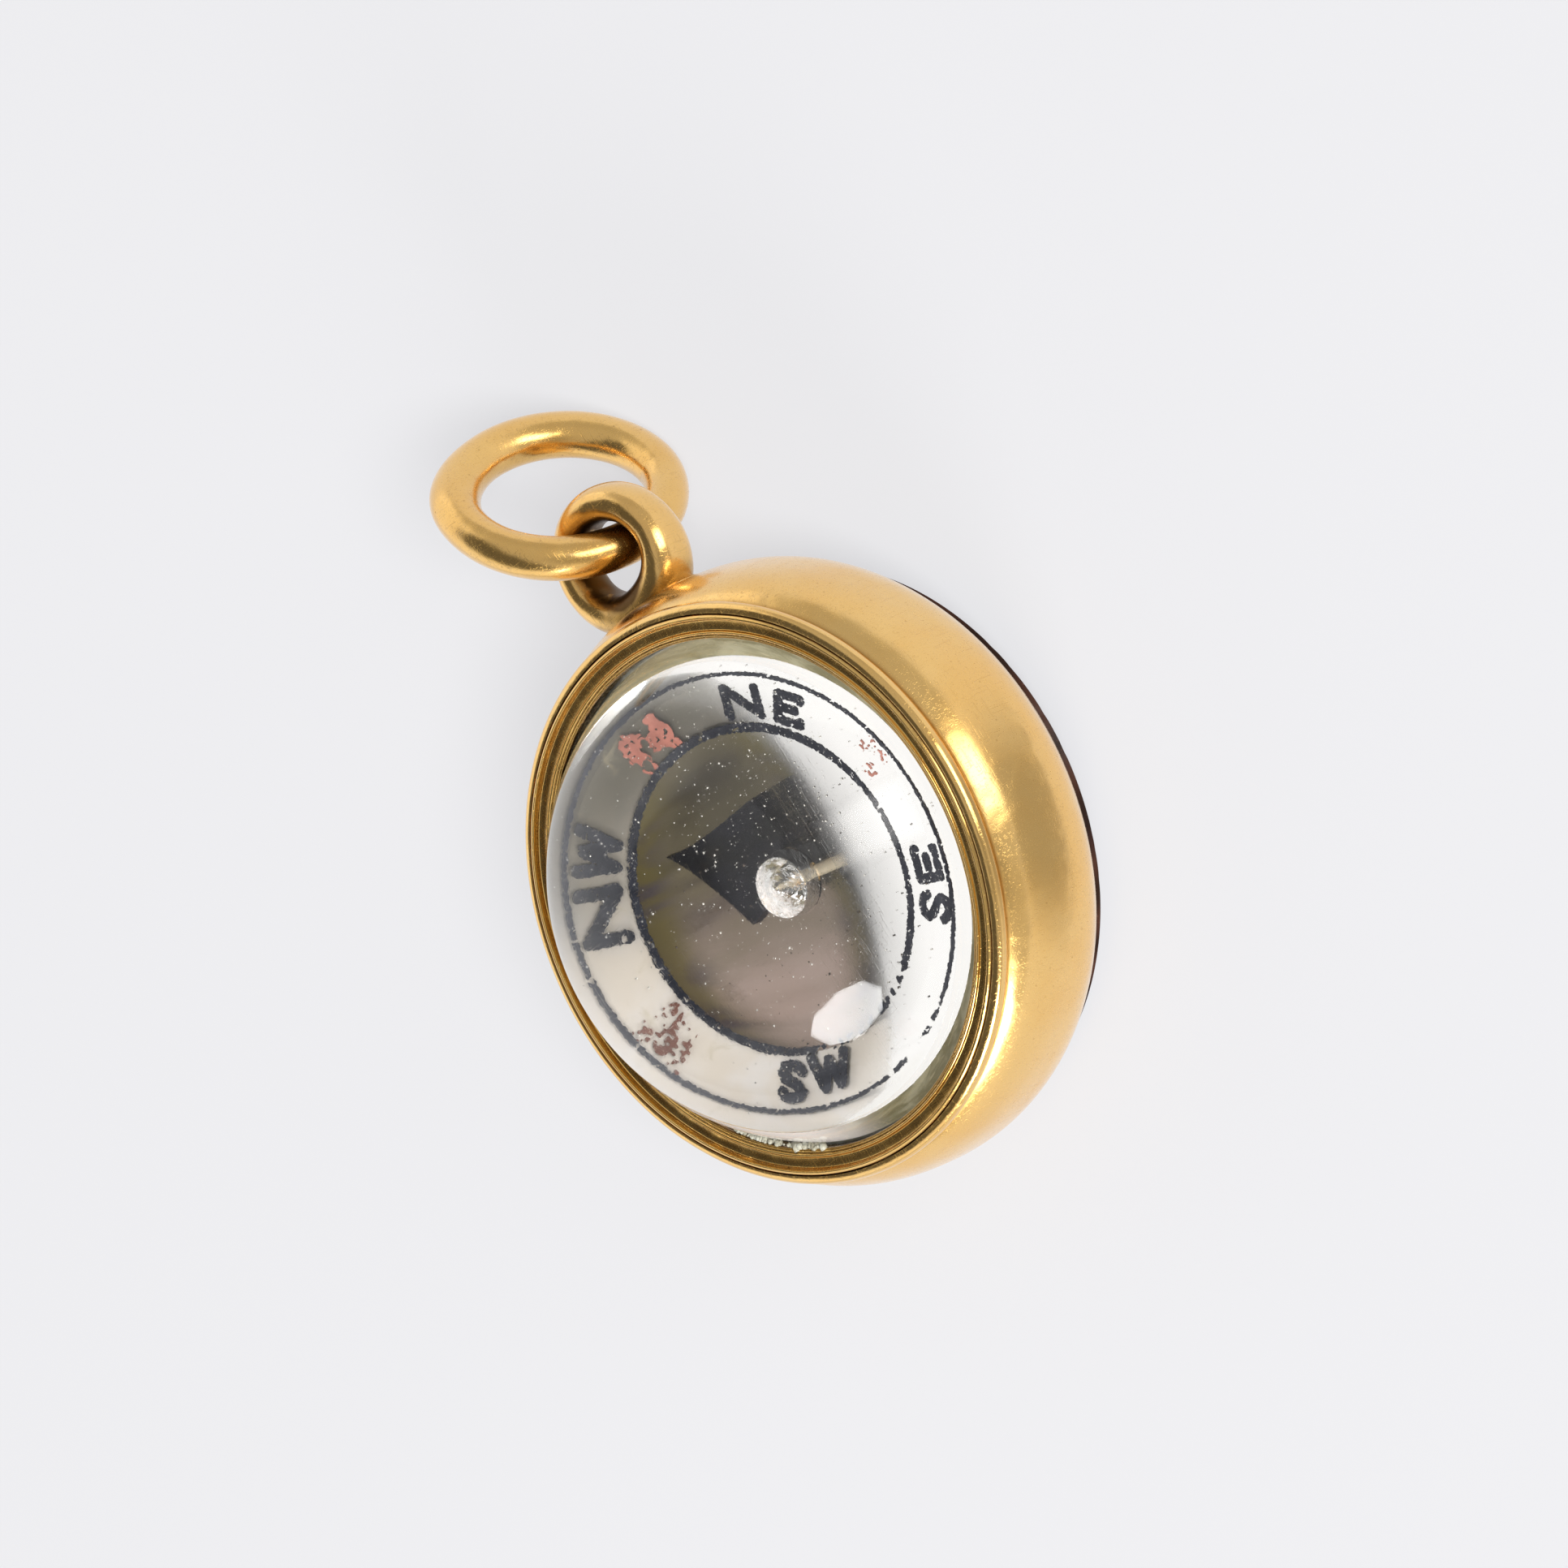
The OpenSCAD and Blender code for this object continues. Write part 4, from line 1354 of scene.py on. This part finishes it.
# Painted circles: name, radius, how far the middle is off the axis, seed, thickness as a
# share all round and more of it at the top right, and the worn spans in degrees with how much
# of the paint is gone there
CIRCLES = (
    ("circle_outer", 5.23, (-0.075, 0.070), 3, (1.0, 0.0),
     ((-91, -78, 1.0), (-110, -91, 0.42), (-78, -62, 0.34))),
    ("circle_inner", 3.74, (-0.190, 0.055), 5, (0.98, 0.40),
     ((-84, -64, 0.64), (-122, -84, 0.60))),
)


def stroke_distance(x, y, strokes):
    """Distance of each point of the grid x, y from the nearest stroke."""
    far = np.full(x.shape, 1e9)
    for x0, y0, x1, y1 in strokes:
        dx, dy = x1 - x0, y1 - y0
        share = np.clip(((x - x0) * dx + (y - y0) * dy) / (dx * dx + dy * dy), 0.0, 1.0)
        far = np.minimum(far, np.hypot(x - x0 - share * dx, y - y0 - share * dy))
    return far


class CHARM_OT_paint(CharmPiece, bpy.types.Operator):
    """Painted circles and letters, as thin worn films just inside the glass's flat"""

    bl_idname = "charm.paint"
    bl_label = "Circles and letters"

    low, high = FLAT_Z + 0.006, FLAT_Z + 0.016

    def build(self, s):
        looks = {
            "ink": ink_material("charm_ink", s.ink, (0.36, 0.35, 0.33), 0.75),
            "coral": ink_material("charm_coral", s.coral, (0.42, 0.33, 0.29), 0.6),
            "flakes": ink_material("charm_flake", (0.080, 0.030, 0.020), (0.26, 0.18, 0.13),
                                   0.5),
            "trace": ink_material("charm_trace", (0.26, 0.115, 0.09), (0.40, 0.33, 0.30), 0.6),
        }
        for circle, width in zip(CIRCLES, (s.line_out, s.line_in)):
            self.circle(looks["ink"], width, *circle)
        count = {}
        for k, mark in enumerate(MARKS):
            letter, kind = mark[0], mark[4]
            count[letter] = count.get(letter, 0) + 1
            self.letter(f"letter_{letter}_{count[letter]}", s, looks[kind], mark, 100 + 7 * k)

    def circle(self, mat, width, name, radius, mid, seed, thickness, spans):
        """One painted ring, chipped all round and thinned out in its worn spans."""
        nu, nv, reach = 1500, 22, 0.22
        theta = np.linspace(0, 2 * np.pi, nu, endpoint=False)[:, None]
        off = np.linspace(-reach, reach, nv)[None, :]
        x = (radius + off) * np.cos(theta) + mid[0]
        y = (radius + off) * np.sin(theta) + mid[1]
        deg = np.degrees(np.arctan2(y, x))
        half = width / 2 * (0.85 + 0.3 * value_noise(x + 30, y + 30, 1.6, seed))
        top = ramp(np.abs((deg - 62 + 180) % 360 - 180), 55, 0)
        half = half * (thickness[0] + thickness[1] * top)
        field = half - np.abs(off)
        field += (value_noise(x + 50, y + 50, 0.055, seed + 1) - 0.5) * 0.055
        chips = value_noise(x + 10, y + 90, 0.09, seed + 2)
        field = np.minimum(field, (0.86 - chips) * 0.3)
        worn = value_noise(x + 70, y + 20, 0.12, seed + 3)
        for start, end, gone in spans:
            inside = ramp(np.minimum(deg - start, end - deg), 0, 3)
            field = np.minimum(field, (worn - gone * inside * 0.92) * 0.4 + 0.05 * (1 - inside))
        make_piece(name, film(x, y, field, self.low, self.high, wrap=True), mat, "case")

    def letter(self, name, s, mat, mark, seed):
        """One letter, worn in the way of its kind."""
        letter, turn, radius, outward, kind, wide, tall = mark
        width, strokes = STROKES[letter]
        size, step = s.letter_h - s.stroke, 0.018
        u, v = np.meshgrid(np.arange(-1.0, 1.0, step), np.arange(-0.75, 0.75, step),
                           indexing="ij")
        far = stroke_distance(u, v, [
            [(x0 - width / 2) * size * wide, (y0 - 0.5) * size * tall,
             (x1 - width / 2) * size * wide, (y1 - 0.5) * size * tall]
            for x0, y0, x1, y1 in strokes])
        field = s.stroke / 2 * (0.9 + 0.25 * value_noise(u + 9, v + 9, 0.3, seed)) - far
        field += (value_noise(u + 5, v + 5, 0.05, seed + 1) - 0.5) * 0.04
        chips = value_noise(u + 3, v + 8, 0.075, seed + 2)
        broad = value_noise(u + 12, v + 2, 0.34, seed + 3)
        if kind == "ink":
            field = np.minimum(field, (0.87 - chips + 0.12 * (broad - 0.5)) * 0.3)
        elif kind == "coral":
            field = s.stroke * 0.62 * (0.6 + broad) - far
            field += (value_noise(u + 6, v + 2, 0.11, seed + 4) - 0.5) * 0.12
            field = np.minimum(field, (broad - 0.30) * 0.4)
            field = np.minimum(field, (0.80 - chips) * 0.3)
        elif kind == "trace":
            field = np.minimum(field + 0.03, (chips - 0.69) * 0.3)
            field = np.minimum(field, (broad - 0.35) * 0.4)
        else:
            field = s.stroke * 0.75 - far
            field = np.minimum(field, (broad * 0.35 + chips * 0.65 - 0.575) * 0.4)
        out = np.array((math.cos(math.radians(turn)), math.sin(math.radians(turn))))
        up = out if outward else -out
        right = np.array((up[1], -up[0]))
        x = radius * out[0] + u * right[0] + v * up[0]
        y = radius * out[1] + u * right[1] + v * up[1]
        make_piece(name, film(x, y, field, self.low, self.high), mat, "case")


class CHARM_OT_dust(CharmPiece, bpy.types.Operator):
    """Dust and specks on the flat underside of the glass"""

    bl_idname = "charm.dust"
    bl_label = "Dust"

    def build(self, s):
        self.specks("dust_pale", 850, 0.0185, 5, dust_material("charm_dust", (0.62, 0.60, 0.55)),
                    (0.0, 1.6), 2.6)
        self.specks("dust_dark", 170, 0.022, 6,
                    dust_material("charm_specks", (0.07, 0.055, 0.045)), (-0.6, -1.2), 2.0)

    def specks(self, name, count, size, seed, mat, mid, spread):
        """Flat grains of eight faces each, scattered about a place on the flat."""
        height, thick = FLAT_Z + 0.024, 0.004
        corners = ((1, 0, 0), (0, 1, 0), (-1, 0, 0), (0, -1, 0), (0, 0, 1), (0, 0, -1))
        rng = np.random.default_rng(seed)
        verts, faces = [], []
        while len(faces) < count * 8:
            x, y = rng.normal(mid[0], spread), rng.normal(mid[1], spread)
            if not 0.85 < math.hypot(x, y) < 5.6:
                continue
            r = size * (0.5 + 1.3 * rng.random() ** 3)
            base = len(verts)
            turn = rng.random() * 3.14
            for dx, dy, dz in corners:
                a = dx * math.cos(turn) - dy * math.sin(turn)
                b = dx * math.sin(turn) + dy * math.cos(turn)
                verts.append((x + a * r * (0.7 + 0.6 * rng.random()), y + b * r,
                              height + dz * thick))
            for i in range(4):
                j = (i + 1) % 4
                faces += [(base + i, base + j, base + 4), (base + j, base + i, base + 5)]
        make_piece(name, (verts, faces), mat, "case")


# Stage


def direction(azimuth, elevation):
    """Unit vector for two angles in degrees."""
    a, e = math.radians(azimuth), math.radians(elevation)
    return Vector((math.cos(a) * math.cos(e), math.sin(a) * math.cos(e), math.sin(e)))


def sheet(name, points, faces, finish, hidden=()):
    """Makes a flat stage piece that isn't seen by the hidden kinds of ray."""
    mesh = bpy.data.meshes.new(name)
    mesh.from_pydata(points, [], faces)
    mesh.materials.append(finish)
    made = add_object(name, mesh)
    for kind in hidden:
        setattr(made, "visible_" + kind, False)
    return made


class CHARM_OT_stage(CharmPiece, bpy.types.Operator):
    """Camera, table, lamp cards and the studio's walls"""

    bl_idname = "charm.stage"
    bl_label = "Stage"

    def build(self, s):
        self.camera(s)
        self.table()
        self.card("lamp_tall", -2, 20, 30, 50, (1.0, 0.985, 0.95), 5.0, 0.6, 4)
        self.card("lamp_round", -91, 27, 34, 22, (1.0, 1.0, 1.0), 17.0, 0.20, 8)
        self.flag()
        self.lamp()
        self.walls(s)

    def camera(self, s):
        """View of the photograph, and the plain colour transform."""
        data = bpy.data.cameras.new("view")
        data.lens, data.sensor_width = s.lens, 36.0
        data.clip_start, data.clip_end = 0.01, 10.0
        cam = add_object("view", data)
        turn = Matrix((RIGHT, UP, VIEW)).transposed().to_4x4()
        cam.matrix_world = Matrix.Translation(AIM + VIEW * CAMERA_AWAY) @ turn
        bpy.context.scene.camera = cam
        bpy.context.scene.view_settings.view_transform = "Standard"

    def table(self):
        """Sloping table that the stone's edge and the bow rest on."""
        half = 3.0
        points = [(-half, -half, 0), (half, -half, 0), (half, half, 0), (-half, half, 0)]
        table = sheet("table", points, [(0, 1, 2, 3)], floor_material("stage_floor"))
        table.location = (0, EDGE_Y * MM, -0.01 * MM)
        table.rotation_euler = (-math.atan(SLOPE), 0, 0)

    def card(self, name, azimuth, elevation, wide, tall, tint, strength, edge, corners):
        """Glowing cloth, wide and tall degrees in size as seen from the charm."""
        distance = 0.30
        # A card of four corners is a square, and one of more has the corners on a circle
        reach = math.sqrt(2) if corners == 4 else 1.0
        turns = [2 * math.pi * (i + 0.5) / corners for i in range(corners)]
        points = [(reach * math.cos(a), reach * math.sin(a), 0) for a in turns]
        card = sheet(name, points, [tuple(range(corners))],
                     card_material("stage_" + name, tint, strength, edge), ("camera", "shadow"))
        towards = direction(azimuth, elevation)
        turn = (-towards).to_track_quat("Z", "Y").to_matrix().to_4x4()
        size = Matrix.Diagonal((distance * math.tan(math.radians(wide / 2)),
                                distance * math.tan(math.radians(tall / 2)), 1.0, 1.0))
        card.matrix_world = Matrix.Translation(towards * distance) @ turn @ size

    def flag(self):
        """Grey sheet just above the table, seen only in the gold's reflections at the right."""
        near, far, above, steps = 12.2, 90.0, 0.35, 48
        points = []
        for radius in (near, far):
            for k in range(steps + 1):
                turn = math.radians(FLAG_FROM + (FLAG_TO - FLAG_FROM) * k / steps)
                x, y = radius * math.cos(turn), radius * math.sin(turn)
                points.append((x * MM, y * MM, (above - (y - EDGE_Y) * SLOPE) * MM))
        n = steps + 1
        faces = [(k, k + 1, n + k + 1, n + k) for k in range(steps)]
        flag = sheet("flag", points, faces, flag_material("stage_flag"),
                     ("camera", "diffuse", "transmission", "shadow"))

    def lamp(self):
        """Soft lamp from the right that lights matt surfaces and throws the table's shadow."""
        data = bpy.data.lights.new("lamp_soft", "SUN")
        data.energy, data.angle = 4.6, math.radians(22)
        lamp = add_object("lamp_soft", data)
        turn = (-direction(-24, 45)).to_track_quat("-Z", "Y")
        lamp.matrix_world = turn.to_matrix().to_4x4()
        lamp.visible_glossy = False
        lamp.visible_transmission = False

    def walls(self, s):
        """World light: an even level with broad brighter and darker parts by direction."""
        world = bpy.data.worlds.new("studio")
        bpy.context.scene.world = world
        world.use_nodes = True
        g = Graph(world.node_tree)
        here = g.add("ShaderNodeTexCoord", out=0)
        x, y, z = g.split(here)
        left = x.step(0.14, -0.03)
        level = s.sky_level - left * z.step(0.50, 0.68) * 0.42
        level = level + left * z.step(0.665, 0.61) * (z + y * 0.2).step(-0.05, 0.12) * 0.50
        # Direction, inner and outer reach in degrees, and the change of level of each patch
        patches = ((-30, 42, 8, 26, -0.18), (62, 5, 8, 32, -0.05), (97, -10, 8, 24, 0.18))
        for azimuth, elevation, inner, outer, change in patches:
            dot = g.add("ShaderNodeVectorMath", {"operation": "DOT_PRODUCT"},
                        {0: here, 1: tuple(direction(azimuth, elevation))}, out=1)
            patch = dot.step(math.cos(math.radians(outer)), math.cos(math.radians(inner)))
            level = level + patch * change
        shown = g.add("ShaderNodeVectorMath", {"operation": "SCALE"},
                      {0: (1.0, 0.985, 0.955), "Scale": level})
        glow = g.add("ShaderNodeBackground", None, {"Color": shown, "Strength": 1.0})
        g.end(glow, "ShaderNodeOutputWorld")


# Registration

OPERATORS = (
    CHARM_OT_case, CHARM_OT_front, CHARM_OT_crystal, CHARM_OT_cement, CHARM_OT_well,
    CHARM_OT_back, CHARM_OT_movement, CHARM_OT_loop, CHARM_OT_bow, CHARM_OT_paint,
    CHARM_OT_dust, CHARM_OT_stage,
)


class CHARM_PT_panel(bpy.types.Panel):
    """Lists the charm's settings and operators"""

    bl_label = "Compass charm"
    bl_idname = "CHARM_PT_panel"
    bl_space_type = "VIEW_3D"
    bl_region_type = "UI"
    bl_category = "Charm"

    def draw(self, context):
        for key in CharmSettings.__annotations__:
            self.layout.prop(context.scene.charm_settings, key)
        for kind in OPERATORS:
            self.layout.operator(kind.bl_idname)


def register():
    for kind in (CharmSettings, *OPERATORS, CHARM_PT_panel):
        bpy.utils.register_class(kind)
    bpy.types.Scene.charm_settings = bpy.props.PointerProperty(type=CharmSettings)


def unregister():
    del bpy.types.Scene.charm_settings
    for kind in (CHARM_PT_panel, *reversed(OPERATORS), CharmSettings):
        bpy.utils.unregister_class(kind)


def main():
    register()
    for kind in OPERATORS:
        group, action = kind.bl_idname.split(".")
        done = getattr(getattr(bpy.ops, group), action)()
        if "FINISHED" not in done:
            raise RuntimeError(f"{kind.bl_idname} did not finish")


if __name__ == "__main__":
    main()
